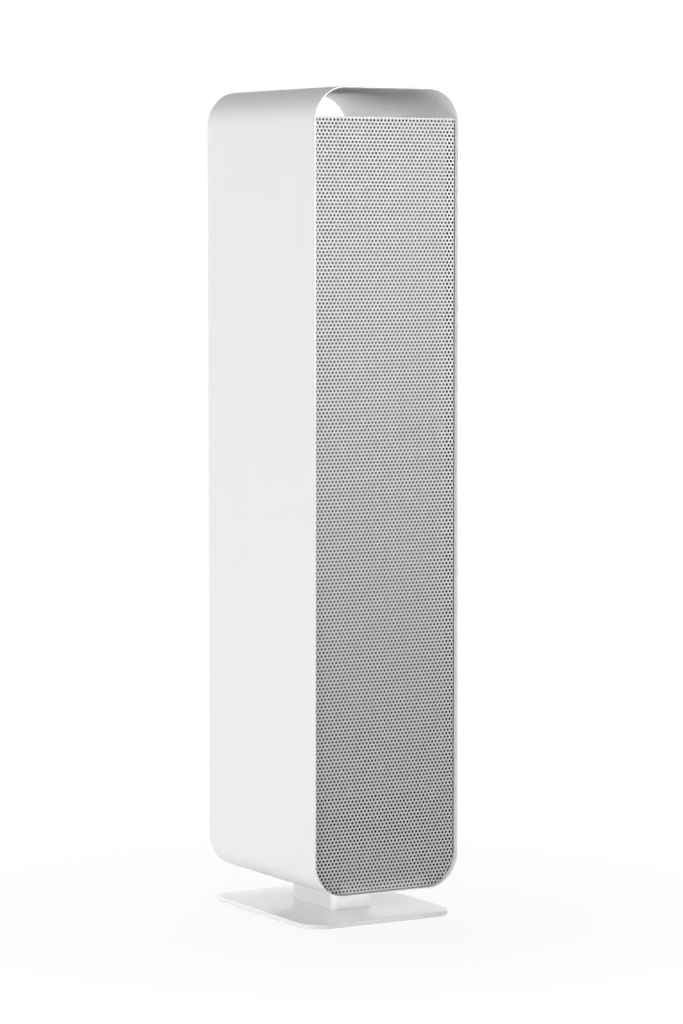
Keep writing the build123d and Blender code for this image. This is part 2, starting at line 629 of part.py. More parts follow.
with BuildPart() as control_panel:
    with BuildSketch(level(DECK_TOP)):
        with Locations((0, CONTROL_Y)):
            RectangleRounded(
                CONTROL_LENGTH + 2 * CONTROL_RIM,
                CONTROL_WIDTH + 2 * CONTROL_RIM,
                CONTROL_CORNER + CONTROL_RIM,
            )
    extrude(amount=CONTROL_PROUD)
    with BuildSketch(level(SKIRT_BOTTOM)):
        with Locations((0, CONTROL_Y)):
            RectangleRounded(SKIRT_LENGTH, SKIRT_WIDTH, CONTROL_CORNER - CONTROL_CLEARANCE)
    extrude(amount=DECK_TOP - SKIRT_BOTTOM)
    with BuildSketch(level(SKIRT_BOTTOM)):
        with Locations((0, CONTROL_Y)):
            RectangleRounded(
                SKIRT_LENGTH - 2 * CONTROL_WALL,
                SKIRT_WIDTH - 2 * CONTROL_WALL,
                CONTROL_CORNER - CONTROL_CLEARANCE - CONTROL_WALL,
            )
    extrude(amount=PLATE_BOTTOM - SKIRT_BOTTOM, mode=Mode.SUBTRACT)
    with BuildSketch(level(PLATE_BOTTOM)):
        with Locations(*[(x, CONTROL_Y) for x in BUTTON_XS]):
            Circle(BUTTON_RADIUS + BUTTON_GAP)
        with Locations((0, LENS_Y)):
            Rectangle(LENS_LENGTH + 2 * LENS_FIT, LENS_WIDTH + 2 * LENS_FIT)
    extrude(amount=CONTROL_PLATE, mode=Mode.SUBTRACT)
control_panel.part.label = "control_panel"
export_step(control_panel.part, "parts/control_panel.step")

# Indicator lens: clear light bar behind the buttons
with BuildPart() as indicator_lens:
    with BuildSketch(level(PLATE_BOTTOM)):
        with Locations((0, LENS_Y)):
            Rectangle(LENS_LENGTH, LENS_WIDTH)
    extrude(amount=CONTROL_PLATE)
indicator_lens.part.label = "indicator_lens"
export_step(indicator_lens.part, "parts/indicator_lens.step")

# Push buttons: round caps with a square retaining rim and a stem into the switch below
for button_name, x in zip(BUTTON_NAMES, BUTTON_XS):
    with BuildPart() as button:
        with BuildSketch(level(RIM_TOP)):
            with Locations((x, CONTROL_Y)):
                Circle(BUTTON_RADIUS)
        extrude(amount=PLATE_TOP + BUTTON_PROUD - RIM_TOP)
        chamfer(button.edges().group_by(Axis.Z)[-1], BUTTON_CROWN)
        with BuildSketch(level(RIM_TOP)):
            with Locations((x, CONTROL_Y)):
                Rectangle(2 * (BUTTON_RADIUS + BUTTON_RIM), 2 * (BUTTON_RADIUS + BUTTON_RIM))
        extrude(amount=-BUTTON_RIM_SHEET)
        with BuildSketch(level(RIM_BOTTOM)):
            with Locations((x, CONTROL_Y)):
                Rectangle(STEM_SIZE, STEM_SIZE)
        extrude(amount=-(RIM_BOTTOM - SWITCH_TOP + STEM_ENGAGE))
    button.part.label = button_name
    export_step(button.part, f"parts/{button_name}.step")

# Tact switches under the buttons, on the control board
with BuildPart() as tact_switches:
    with BuildSketch(level(SKIRT_BOTTOM)):
        with Locations(*[(x, CONTROL_Y) for x in BUTTON_XS]):
            Rectangle(SWITCH_SIZE, SWITCH_SIZE)
    extrude(amount=SWITCH_HEIGHT)
    with BuildSketch(level(SKIRT_BOTTOM + SWITCH_FLOOR)):
        with Locations(*[(x, CONTROL_Y) for x in BUTTON_XS]):
            Rectangle(STEM_SIZE + 2 * BUTTON_GAP, STEM_SIZE + 2 * BUTTON_GAP)
    extrude(amount=SWITCH_WELL, mode=Mode.SUBTRACT)
tact_switches.part.label = "tact_switches"
export_step(tact_switches.part, "parts/tact_switches.step")

with BuildPart() as control_board:
    with BuildSketch(level(SKIRT_BOTTOM)):
        with Locations((0, CONTROL_Y)):
            RectangleRounded(SKIRT_LENGTH, SKIRT_WIDTH, CONTROL_CORNER - CONTROL_CLEARANCE)
    extrude(amount=-BOARD_SHEET)
control_board.part.label = "control_board"
export_step(control_board.part, "parts/control_board.step")

# Power supply: closed box with vent slots, on posts at the front of the tray
SUPPLY_FRONT = LIP_FRONT + TRAY_SHEET + SUPPLY_SETBACK
SUPPLY_MIDDLE = SUPPLY_FRONT + SUPPLY_DEPTH / 2
SUPPLY_WIDTH = TRAY_WIDTH - 2 * SUPPLY_EDGE_GAP
POST_TOP = TRAY_TOP + POST_HEIGHT
with BuildPart() as power_supply:
    with Locations((0, SUPPLY_FRONT, POST_TOP)):
        Box(SUPPLY_WIDTH, SUPPLY_DEPTH, SUPPLY_HEIGHT, align=(Align.CENTER, Align.MIN, Align.MIN))
    with BuildSketch(level(POST_TOP + SUPPLY_HEIGHT)):
        with Locations((0, SUPPLY_MIDDLE)):
            with GridLocations(SUPPLY_WIDTH / (SUPPLY_SLOTS + 1), 1, SUPPLY_SLOTS, 1):
                Rectangle(SUPPLY_SLOT_WIDTH, SUPPLY_SLOT_LENGTH)
    extrude(amount=-SUPPLY_SLOT_DEPTH, mode=Mode.SUBTRACT)
power_supply.part.label = "power_supply"
export_step(power_supply.part, "parts/power_supply.step")

# Main board on four posts over the middle of the tray
BOARD_TOP = POST_TOP + BOARD_SHEET
MAIN_BOARD_WIDTH = TRAY_WIDTH - 2 * BOARD_EDGE_GAP
POST_X = MAIN_BOARD_WIDTH - 2 * BOARD_POST_INSET
with BuildPart() as main_board:
    with BuildSketch(level(POST_TOP)):
        Rectangle(MAIN_BOARD_WIDTH, MAIN_BOARD_DEPTH)
    extrude(amount=BOARD_SHEET)
    with BuildSketch(level(BOARD_TOP)):
        with GridLocations(MAIN_BOARD_WIDTH / 2, 1, 2, 1):
            Rectangle(COIL_SIZE, COIL_SIZE)
    extrude(amount=COIL_SIZE)
    with BuildSketch(level(BOARD_TOP)):
        with GridLocations(CAPACITOR_SPACING, 1, 2, 1):
            Circle(CAPACITOR_RADIUS)
    extrude(amount=CAPACITOR_HEIGHT)
main_board.part.label = "main_board"
export_step(main_board.part, "parts/main_board.step")

with BuildPart() as board_posts:
    with BuildSketch(level(TRAY_TOP)):
        for middle, depth in ((0, MAIN_BOARD_DEPTH), (SUPPLY_MIDDLE, SUPPLY_DEPTH)):
            with Locations((0, middle)):
                with GridLocations(POST_X, depth - 2 * BOARD_POST_INSET, 2, 2):
                    RegularPolygon(BOARD_POST_RADIUS, 6)
    extrude(amount=POST_HEIGHT)
board_posts.part.label = "board_posts"
export_step(board_posts.part, "parts/board_posts.step")

# Mains inlet: moulded socket snapped into the service panel, open to the rear
PANEL_REAR = REAR_SEAT + PANEL_SHEET
INLET_FACE = PANEL_REAR + INLET_RIM_SHEET
WELL_FLOOR = INLET_FACE - INLET_WELL
with BuildPart() as power_inlet:
    with BuildSketch(upright(PANEL_REAR)):
        with Locations((INLET_OFFSET, INLET_Z)):
            RectangleRounded(INLET_WIDTH + 2 * INLET_RIM, INLET_HEIGHT + 2 * INLET_RIM, INLET_CORNER)
    extrude(amount=-INLET_RIM_SHEET)
    with BuildSketch(upright(PANEL_REAR)):
        with Locations((INLET_OFFSET, INLET_Z)):
            RectangleRounded(INLET_WIDTH, INLET_HEIGHT, INLET_CORNER - INLET_CLEARANCE)
    extrude(amount=INLET_DEPTH)
    with BuildSketch(upright(INLET_FACE)):
        with Locations((INLET_OFFSET, INLET_Z)):
            RectangleRounded(
                INLET_WIDTH - 2 * INLET_WALL,
                INLET_HEIGHT - 2 * INLET_WALL,
                INLET_CORNER - INLET_WALL,
            )
    extrude(amount=INLET_WELL, mode=Mode.SUBTRACT)
power_inlet.part.label = "power_inlet"
export_step(power_inlet.part, "parts/power_inlet.step")

with BuildPart() as inlet_pins:
    with BuildSketch(upright(WELL_FLOOR)):
        with Locations((INLET_OFFSET, INLET_Z)):
            with Locations((-PIN_SPACING, 0), (0, PIN_STAGGER), (PIN_SPACING, 0)):
                Rectangle(PIN_WIDTH, PIN_HEIGHT)
    extrude(amount=-PIN_LENGTH)
inlet_pins.part.label = "inlet_pins"
export_step(inlet_pins.part, "parts/inlet_pins.step")

# Air sensor: small box on the inside of the service panel, behind two air slots
with BuildPart() as air_sensor:
    with BuildSketch(upright(REAR_SEAT)):
        with Locations((SENSOR_OFFSET, INLET_Z)):
            Rectangle(SENSOR_WIDTH, SENSOR_HEIGHT)
    extrude(amount=SENSOR_DEPTH)
    with BuildSketch(upright(REAR_SEAT)):
        with Locations((SENSOR_OFFSET, INLET_Z)):
            with GridLocations(1, SENSOR_PORT_PITCH, 1, 2):
                Rectangle(SENSOR_PORT_WIDTH, SENSOR_PORT_HEIGHT)
    extrude(amount=SENSOR_WELL, mode=Mode.SUBTRACT)
air_sensor.part.label = "air_sensor"
export_step(air_sensor.part, "parts/air_sensor.step")

# Pedestal: rectangular block, hollow from below, with two ribs that take the bolts' threads
with BuildPart() as pedestal:
    with BuildSketch(level(BASE_TOP)):
        RectangleRounded(PEDESTAL_WIDTH, PEDESTAL_DEPTH, PEDESTAL_CORNER_RADIUS)
    extrude(amount=PEDESTAL_HEIGHT)
    with BuildSketch(level(BASE_TOP)):
        Rectangle(PEDESTAL_WIDTH - 2 * PEDESTAL_WALL, PEDESTAL_DEPTH - 2 * PEDESTAL_WALL)
        with GridLocations(1, BOLT_SPACING, 1, 2):
            Rectangle(PEDESTAL_WIDTH, PEDESTAL_BOSS, mode=Mode.SUBTRACT)
    extrude(amount=PEDESTAL_HEIGHT - PEDESTAL_TOP, mode=Mode.SUBTRACT)
    with BuildSketch(level(BASE_TOP)):
        with GridLocations(1, BOLT_SPACING, 1, 2):
            Circle(BOLT_RADIUS + THREAD_CLEARANCE)
    extrude(amount=BOLT_GRIP + BOLT_END_GAP, mode=Mode.SUBTRACT)
pedestal.part.label = "pedestal"
export_step(pedestal.part, "parts/pedestal.step")

# Base plate: heavy plate with a softened top edge, pad pockets and bolt-head recesses below
PAD_X = BASE_WIDTH - 2 * PAD_INSET
PAD_Y = BASE_DEPTH - 2 * PAD_INSET
with BuildPart() as base_plate:
    with BuildSketch(level(BASE_BOTTOM)):
        RectangleRounded(BASE_WIDTH, BASE_DEPTH, BASE_CORNER_RADIUS)
    extrude(amount=BASE_THICKNESS)
    chamfer(base_plate.edges().group_by(Axis.Z)[-1], BASE_EDGE_CHAMFER)
    with BuildSketch(level(BASE_BOTTOM)):
        with GridLocations(PAD_X, PAD_Y, 2, 2):
            Rectangle(PAD_WIDTH + 2 * PAD_CLEARANCE, PAD_LENGTH + 2 * PAD_CLEARANCE)
    extrude(amount=PAD_POCKET, mode=Mode.SUBTRACT)
    with BuildSketch(level(BASE_BOTTOM)):
        with GridLocations(1, BOLT_SPACING, 1, 2):
            Circle(BOLT_HEAD_RADIUS + BOLT_CLEARANCE)
    extrude(amount=BOLT_HEAD_HEIGHT, mode=Mode.SUBTRACT)
    with BuildSketch(level(BASE_BOTTOM)):
        with GridLocations(1, BOLT_SPACING, 1, 2):
            Circle(BOLT_RADIUS + BOLT_CLEARANCE)
    extrude(amount=BASE_THICKNESS, mode=Mode.SUBTRACT)
base_plate.part.label = "base_plate"
export_step(base_plate.part, "parts/base_plate.step")

# Foot pads: rubber blocks set into the base plate
with BuildPart() as foot_pads:
    with BuildSketch(level(0)):
        with GridLocations(PAD_X, PAD_Y, 2, 2):
            Rectangle(PAD_WIDTH, PAD_LENGTH)
    extrude(amount=PAD_PROUD + PAD_POCKET)
foot_pads.part.label = "foot_pads"
export_step(foot_pads.part, "parts/foot_pads.step")

# Foot bolts: from below the base plate into the pedestal's ribs
with BuildPart() as foot_bolts:
    with BuildSketch(level(BASE_BOTTOM)):
        with GridLocations(1, BOLT_SPACING, 1, 2):
            RegularPolygon(BOLT_HEAD_RADIUS, 6)
    extrude(amount=BOLT_HEAD_HEIGHT)
    with BuildSketch(level(BASE_BOTTOM)):
        with GridLocations(1, BOLT_SPACING, 1, 2):
            Circle(BOLT_RADIUS)
    extrude(amount=BASE_THICKNESS + BOLT_GRIP)
foot_bolts.part.label = "foot_bolts"
export_step(foot_bolts.part, "parts/foot_bolts.step")
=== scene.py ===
# %% [markdown]
# A tower air purifier, dressed for its portrait. The solid parts come ready-made and stay exactly
# where they are. This lesson gives each of them a finish, and models the pieces that a close look
# needs finer than the solids give: the sleeve, the perforated panels, the foot, the screws, the foam
# strips and the signs on the keys. Lengths are in metres. X is the width, the front faces -Y, and Z
# is up from the floor.

# %% Load the solid parts
import json
from math import ceil, cos, pi, radians, sin, sqrt

import bpy
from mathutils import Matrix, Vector


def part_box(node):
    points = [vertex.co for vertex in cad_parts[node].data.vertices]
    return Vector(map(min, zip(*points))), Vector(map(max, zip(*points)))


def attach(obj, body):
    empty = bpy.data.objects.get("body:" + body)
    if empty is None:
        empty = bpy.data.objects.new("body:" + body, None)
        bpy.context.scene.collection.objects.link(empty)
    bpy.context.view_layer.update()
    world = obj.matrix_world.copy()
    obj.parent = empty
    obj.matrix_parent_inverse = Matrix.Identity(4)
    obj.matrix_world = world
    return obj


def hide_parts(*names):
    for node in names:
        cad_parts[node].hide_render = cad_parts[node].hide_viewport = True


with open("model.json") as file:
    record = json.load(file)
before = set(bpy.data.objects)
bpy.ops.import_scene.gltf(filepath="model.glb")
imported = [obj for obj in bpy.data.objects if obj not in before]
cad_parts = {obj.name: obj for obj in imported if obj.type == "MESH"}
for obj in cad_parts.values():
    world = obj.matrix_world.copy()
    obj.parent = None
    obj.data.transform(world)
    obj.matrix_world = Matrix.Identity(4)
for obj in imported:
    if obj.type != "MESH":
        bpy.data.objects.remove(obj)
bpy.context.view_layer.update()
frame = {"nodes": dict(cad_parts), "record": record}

MM = 0.001


# %% [markdown]
# Every piece below is modelled as by hand: add a primitive, go into edit mode, pick some faces or
# edges, run an operator on them. An operator acts on all that is selected, and the loaded parts come
# in selected, so each piece starts by deselecting everything. Picking by place or direction in code
# does what a click does in the window.

# %% Helpers for adding and picking
def start_clean():
    """Object mode with nothing selected."""
    if bpy.context.mode != "OBJECT":
        bpy.ops.object.mode_set(mode="OBJECT")
    bpy.ops.object.select_all(action="DESELECT")


def take(piece):
    """Make one piece the only selected and active object."""
    start_clean()
    bpy.context.view_layer.objects.active = piece
    piece.select_set(True)


def keep_as(name):
    """Name the primitive just added and put its place and size into its mesh."""
    piece = bpy.context.object
    piece.name = name
    piece.data.name = name
    bpy.ops.object.transform_apply(location=True, rotation=True, scale=True)
    return piece


def add_block(name, low, high):
    """A box between two corners, ready to be shaped."""
    start_clean()
    bpy.ops.mesh.primitive_cube_add(size=1, location=(Vector(low) + Vector(high)) / 2)
    bpy.context.object.scale = Vector(high) - Vector(low)
    return keep_as(name)


def pick(piece, kind, test):
    """Edit mode with only the faces or edges selected whose place and direction pass a test."""
    take(piece)
    bpy.ops.object.mode_set(mode="EDIT")
    bpy.ops.mesh.select_mode(type=kind)
    bpy.ops.mesh.select_all(action="DESELECT")
    bpy.ops.object.mode_set(mode="OBJECT")
    mesh = piece.data
    if kind == "FACE":
        for face in mesh.polygons:
            face.select = test(face.center, face.normal)
    else:
        for edge in mesh.edges:
            first, second = (mesh.vertices[index].co for index in edge.vertices)
            edge.select = test((first + second) / 2, (second - first).normalized())
    bpy.ops.object.mode_set(mode="EDIT")


print("helpers for adding and picking ready")

# %% [markdown]
# The next helpers wrap the steps that come up again and again: bevel some edges, add a modifier and
# apply it, smooth the shading, copy a piece, and cut one piece out of another. Modifiers are applied
# at once, so that the next step works on the real mesh.

# %% Helpers for shaping
def round_edges(piece, test, radius, segments):
    """Bevel the edges that pass a test."""
    pick(piece, "EDGE", test)
    bpy.ops.mesh.bevel(offset=radius, segments=segments, affect="EDGES")
    bpy.ops.object.mode_set(mode="OBJECT")


def modify(piece, kind, **settings):
    """Add one modifier with its settings and apply it."""
    take(piece)
    modifier = piece.modifiers.new(kind.lower(), kind)
    for setting, value in settings.items():
        setattr(modifier, setting, value)
    bpy.ops.object.modifier_apply(modifier=modifier.name)


def polish(piece, angle=30):
    """Smooth shading up to an angle, with flat faces kept flat beside their small bevels."""
    take(piece)
    bpy.ops.object.shade_smooth_by_angle(angle=radians(angle))
    modify(piece, "WEIGHTED_NORMAL", keep_sharp=True)


def copy_to(piece, name, shift):
    """A copy with its own mesh, moved by shift."""
    take(piece)
    bpy.ops.object.duplicate(linked=False)
    bpy.ops.transform.translate(value=shift)
    return keep_as(name)


def carve(piece, cutter):
    """Cut one piece out of another and throw the cutter away."""
    modify(piece, "BOOLEAN", object=cutter, operation="DIFFERENCE", solver="EXACT")
    bpy.data.objects.remove(cutter)


def triangle_count(piece):
    """A face of n corners counts as n - 2 triangles."""
    return sum(len(face.vertices) - 2 for face in piece.data.polygons)


print("helpers for shaping ready")

# %% [markdown]
# Finishes are node graphs. They could be wired box by box, but sums are easier to read, so one small
# class wraps a node's output and turns arithmetic and comparisons into Math nodes. The reflected forms
# let a plain number stand first, as in 1 - mask.

# %% Node outputs as numbers
class Wire:
    """One output of a node; arithmetic on it adds Math nodes."""

    def __init__(self, graph, socket):
        self.graph = graph
        self.socket = socket

    def maths(self, operation, first, second):
        return self.graph.node("ShaderNodeMath", {"operation": operation}, {0: first, 1: second})

    def __add__(self, other):
        return self.maths("ADD", self, other)

    def __radd__(self, other):
        return self.maths("ADD", other, self)

    def __sub__(self, other):
        return self.maths("SUBTRACT", self, other)

    def __rsub__(self, other):
        return self.maths("SUBTRACT", other, self)

    def __mul__(self, other):
        return self.maths("MULTIPLY", self, other)

    def __rmul__(self, other):
        return self.maths("MULTIPLY", other, self)

    def __pow__(self, other):
        return self.maths("POWER", self, other)

    def __abs__(self):
        return self.maths("ABSOLUTE", self, 0.0)

    def at_least(self, other):
        return self.maths("MAXIMUM", self, other)

    def __lt__(self, other):
        return self.maths("LESS_THAN", self, other)


print("node outputs ready")

# %% [markdown]
# Any other node comes from one method that takes its type, then its settings, then the values or links
# of its sockets. A node tree belongs to a material or to the world, and this class serves both.

# %% Node trees
class Graph:
    """A node tree that is built node by node."""

    def __init__(self, owner):
        owner.use_nodes = True
        self.nodes = owner.node_tree.nodes
        self.links = owner.node_tree.links

    def put(self, socket, value):
        """Link a wire to a socket, or set a plain value on it."""
        if isinstance(value, Wire):
            self.links.new(value.socket, socket)
        else:
            socket.default_value = value

    def node(self, kind, settings=None, sockets=None, out=0):
        """Add a node: its settings first, then the values or links of its sockets."""
        made = self.nodes.new(kind)
        for setting, value in (settings or {}).items():
            setattr(made, setting, value)
        for socket, value in (sockets or {}).items():
            self.put(made.inputs[socket], value)
        return Wire(self, made.outputs[out])

    def between(self, value, low, high, start=0.0, end=1.0):
        """Carry a value from one range to another and hold it at the ends."""
        sockets = {"Value": value, "From Min": start, "From Max": end, "To Min": low, "To Max": high}
        return self.node("ShaderNodeMapRange", None, sockets)


print("node trees ready")

# %% [markdown]
# A finish is a material around one Principled shader, with the patterns that many surfaces share. The
# patterns read Object coordinates, which are real metres here, so a noise of scale 1000 has features
# about a millimetre across. Each finish is kept under its name, to be put on the parts further down.

# %% Finishes
# A Mix node's sockets for colours, which share their names with those for numbers
MIX_FIRST = 6
MIX_SECOND = 7
MIX_RESULT = 2
finishes = {}


class Finish(Graph):
    """A material around one Principled shader."""

    def __init__(self, name, colour, rough, **constants):
        self.material = bpy.data.materials.new(name)
        super().__init__(self.material)
        self.shader = self.nodes["Principled BSDF"]
        self.colour = colour
        self.material.diffuse_color = (*colour, 1)
        finishes[name] = self.material
        self.feed("Base Color", (*colour, 1))
        self.feed("Roughness", rough)
        for socket, value in constants.items():
            self.feed(socket.replace("_", " ").title().replace("Ior", "IOR"), value)

    def feed(self, socket, value):
        """Set or link a socket of the shader itself."""
        self.put(self.shader.inputs[socket], value)

    def place(self):
        """Object coordinates, in metres."""
        return self.node("ShaderNodeTexCoord", out="Object")

    def axes(self):
        """Object coordinates as three numbers."""
        place = {"Vector": self.place()}
        return [self.node("ShaderNodeSeparateXYZ", None, place, axis) for axis in "XYZ"]

    def stretched(self, scale):
        """Object coordinates stretched along the axes, for grain that runs one way."""
        return self.node("ShaderNodeMapping", None, {"Vector": self.place(), "Scale": scale})

    def noise(self, scale, detail=2.0, rough=0.5, place=None):
        """Soft random shades from 0 to 1."""
        sockets = {"Vector": place or self.place(), "Scale": scale, "Detail": detail, "Roughness": rough}
        return self.node("ShaderNodeTexNoise", None, sockets)

    def cells(self, scale, out="Distance"):
        """Random cells: the distance from each cell's middle, or a colour for each cell."""
        return self.node("ShaderNodeTexVoronoi", None, {"Vector": self.place(), "Scale": scale}, out)

    def grey(self, colour):
        """A colour output as one number."""
        return self.node("ShaderNodeRGBToBW", None, {"Color": colour})

    def mix(self, factor, first, second):
        """Mix two colours, each a wire or three plain numbers."""
        first, second = (c if isinstance(c, Wire) else (*c, 1) for c in (first, second))
        sockets = {"Factor": factor, MIX_FIRST: first, MIX_SECOND: second}
        return self.node("ShaderNodeMix", {"data_type": "RGBA"}, sockets, MIX_RESULT)

    def tint(self, factor, darker, lighter=1.0):
        """Base colour that runs from a darker to a lighter share of the finish's own colour."""
        low = [c * darker for c in self.colour]
        high = [min(1.0, c * lighter) for c in self.colour]
        shade = self.mix(factor, low, high)
        self.feed("Base Color", shade)
        return shade

    def bump(self, height, depth):
        """Relief of a given depth in metres."""
        sockets = {"Height": height, "Distance": depth, "Strength": 1.0}
        self.feed("Normal", self.node("ShaderNodeBump", None, sockets))


print("finishes can be made")

# %% [markdown]
# Powder coat is paint that was sprayed on as dry dust and melted: it has a slight orange peel about a
# millimetre across with a finer grain on top, and a satin sheen. The sleeve and the deck have the
# fine, matt kind. The perforated panels have a silver-grey satin kind with tiny metal flakes, and the
# foot has a glossy kind that mirrors the pedestal.

# %% Coated metal
def powder_coat(slot, colour, rough, peel_depth, grain_depth, **constants):
    """Paint with orange peel and a finer grain; its shade is kept as the finish's coat."""
    finish = Finish(slot, colour, rough, **constants)
    peel = finish.noise(700, detail=1.0)
    grain = finish.noise(2600, detail=3.0, rough=0.6)
    tone = finish.noise(9, detail=2.0)
    finish.coat = finish.tint(tone * 0.6 + grain * 0.4, 0.965)
    finish.feed("Roughness", finish.between(grain, rough - 0.06, rough + 0.06, 0.3, 0.7))
    finish.bump(peel * peel_depth + grain * grain_depth, 1.0)
    return finish


WHITE_COAT = ((0.86, 0.86, 0.855), 0.52, 0.00002, 0.000012)
SILVER_COAT = ((0.61, 0.614, 0.62), 0.40, 0.00001, 0.00001)


def silver_coat(slot):
    """Powder coat with a metal flake in each of many small cells."""
    finish = powder_coat(slot, *SILVER_COAT, metallic=0.1)
    flake = finish.grey(finish.cells(2400, out="Color"))
    finish.coat = finish.tint(flake, 0.9, 1.1)
    return finish


sleeve_coat = powder_coat("sleeve_paint", *WHITE_COAT, specular_ior_level=0.25)
deck_coat = powder_coat("deck_paint", *WHITE_COAT, specular_ior_level=0.25)
powder_coat(
    "foot_paint", (0.87, 0.87, 0.87), 0.16, 0.000006, 0.0000015, coat_weight=0.5, coat_roughness=0.05
)
silver_coat("grille_paint")
cover_coat = silver_coat("cover_paint")
# The supply case's black coat is painted shade: it keeps the lowest holes of the front panel dark.
powder_coat("supply_case", (0.02, 0.02, 0.021), 0.45, 0.00002, 0.000012)
print("coated metal:", sorted(finishes))

# %% [markdown]
# The sleeve's inside is primed in a dark grey where the panels hide it. This is painted shade, which
# keeps the gap beside the front panel dark, and the inside of the cover at the rear gets the same
# painted shade.
# The folds below the deck get a lighter grey primer, painted shade seen through the holes in front of
# them. The sleeve's mask is the space inside the middle of the bent sheet: the distance from the line
# around which a lower corner is bent is smaller on the inner face than on the outer one, and that
# distance also tells the two faces of the flat walls apart.

# %% Dark primer inside the sleeve, as painted shade
SLEEVE_RADIUS = 42 * MM
SLEEVE_SHEET = 1.4 * MM
# Both primer colours are painted shade: dark grey for the shaded gap, lighter grey on the deck's folds.
SHADE_PRIMER = (0.05, 0.05, 0.052)
DECK_SHADE_PRIMER = (0.2, 0.2, 0.2)
SHADE_PRIMER_REACH = 125.3 * MM
SHADE_PRIMER_TOP = 969 * MM

sleeve_low, sleeve_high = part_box("outer_sleeve")
x, y, z = sleeve_coat.axes()
across = (abs(x) - (sleeve_high.x - SLEEVE_RADIUS)).at_least(0.0)
below = (sleeve_low.z + SLEEVE_RADIUS - z).at_least(0.0)
bend = (across**2 + below**2) ** 0.5
sheet_middle = SLEEVE_RADIUS - SLEEVE_SHEET / 2
shade_primed = (
    (sleeve_coat, (bend < sheet_middle) * (abs(y) < SHADE_PRIMER_REACH) * (z < SHADE_PRIMER_TOP), SHADE_PRIMER),
    (deck_coat, deck_coat.axes()[2] < SHADE_PRIMER_TOP, DECK_SHADE_PRIMER),
    (cover_coat, cover_coat.axes()[1] < SHADE_PRIMER_REACH, SHADE_PRIMER),
)
# Each finish takes its painted shade where its mask is 1.
for finish, mask, shade_primer in shade_primed:
    finish.feed("Base Color", finish.mix(mask, finish.coat, shade_primer))
print("primer below", round(SHADE_PRIMER_TOP / MM), "mm on", len(shade_primed), "finishes")

# %% [markdown]
# Inside are plain engineering surfaces. Galvanised sheet shows large zinc crystals, each a little
# lighter or darker than its neighbour, which is what a pattern of random cells looks like. Ground and
# drawn metal has fine lines along one way, made by stretching a noise. A cast can is finely pitted.

# %% Bare metal
def galvanised(slot, colour):
    """Zinc-coated sheet with crystals about a centimetre across."""
    finish = Finish(slot, colour, 0.42, metallic=0.9)
    wobble = finish.noise(60, detail=2.0)
    spangle = finish.grey(finish.cells(110, out="Color"))
    finish.tint(spangle * 0.7 + wobble * 0.3, 0.72, 1.08)
    finish.feed("Roughness", finish.between(spangle, 0.32, 0.55))
    finish.bump(finish.noise(1500, detail=2.0), 0.00001)


def drawn_metal(slot, colour, rough, along):
    """Metal with fine lines: along gives how dense the lines are on each axis."""
    finish = Finish(slot, colour, rough, metallic=1.0)
    lines = finish.noise(1.0, detail=3.0, rough=0.65, place=finish.stretched(along))
    stain = finish.noise(45, detail=3.0)
    finish.tint(lines * 0.6 + stain * 0.4, 0.75, 1.05)
    finish.feed("Roughness", finish.between(lines, rough - 0.08, rough + 0.1, 0.25, 0.75))
    finish.bump(lines, 0.00001)


def cast_metal(slot, colour, rough):
    """Metal with the fine pits of a casting."""
    finish = Finish(slot, colour, rough, metallic=0.85)
    pits = finish.noise(1800, detail=4.0, rough=0.65)
    cloud = finish.noise(70, detail=2.0)
    finish.tint(pits * 0.5 + cloud * 0.5, 0.72, 1.05)
    finish.feed("Roughness", finish.between(pits, rough - 0.08, rough + 0.12, 0.3, 0.7))
    finish.bump(pits, 0.00004)


galvanised("chassis_steel", (0.32, 0.325, 0.33))
cast_metal("motor_can", (0.60, 0.61, 0.62), 0.45)
drawn_metal("shaft_steel", (0.55, 0.56, 0.57), 0.28, (4000, 60, 4000))
drawn_metal("bolt_steel", (0.50, 0.50, 0.50), 0.35, (2500, 2500, 300))
drawn_metal("pin_brass", (0.70, 0.64, 0.50), 0.25, (3000, 80, 3000))
print("bare metal:", len(finishes), "finishes so far")

# %% [markdown]
# Moulded plastic takes the texture of its mould, a fine spark-eroded grain that breaks up its
# highlight. Rubber is the same but duller and dusty in places. One function makes the whole family,
# because only the colour, the grain's size and depth, and the gloss differ.

# %% Plastic and rubber
def moulded(slot, colour, rough, grain_scale, grain_depth, dust=0.0, **constants):
    """Plastic or rubber with a mould's grain; dust is how far dusty places turn grey."""
    finish = Finish(slot, colour, rough, **constants)
    grain = finish.noise(grain_scale, detail=3.0, rough=0.6)
    flow = finish.noise(25, detail=2.0)
    dusty = [c + dust * (0.5 - c) for c in colour]
    clean_and_unshaded = finish.mix(grain, [c * 0.88 for c in colour], [min(1.0, c * 1.08) for c in colour])
    finish.feed("Base Color", finish.mix(finish.between(flow, 0.0, 1.0, 0.45, 0.75), clean_and_unshaded, dusty))
    dullness = grain * 0.5 + flow * 0.5
    finish.feed("Roughness", finish.between(dullness, rough - 0.07, rough + 0.07, 0.3, 0.7))
    finish.bump(grain, grain_depth)


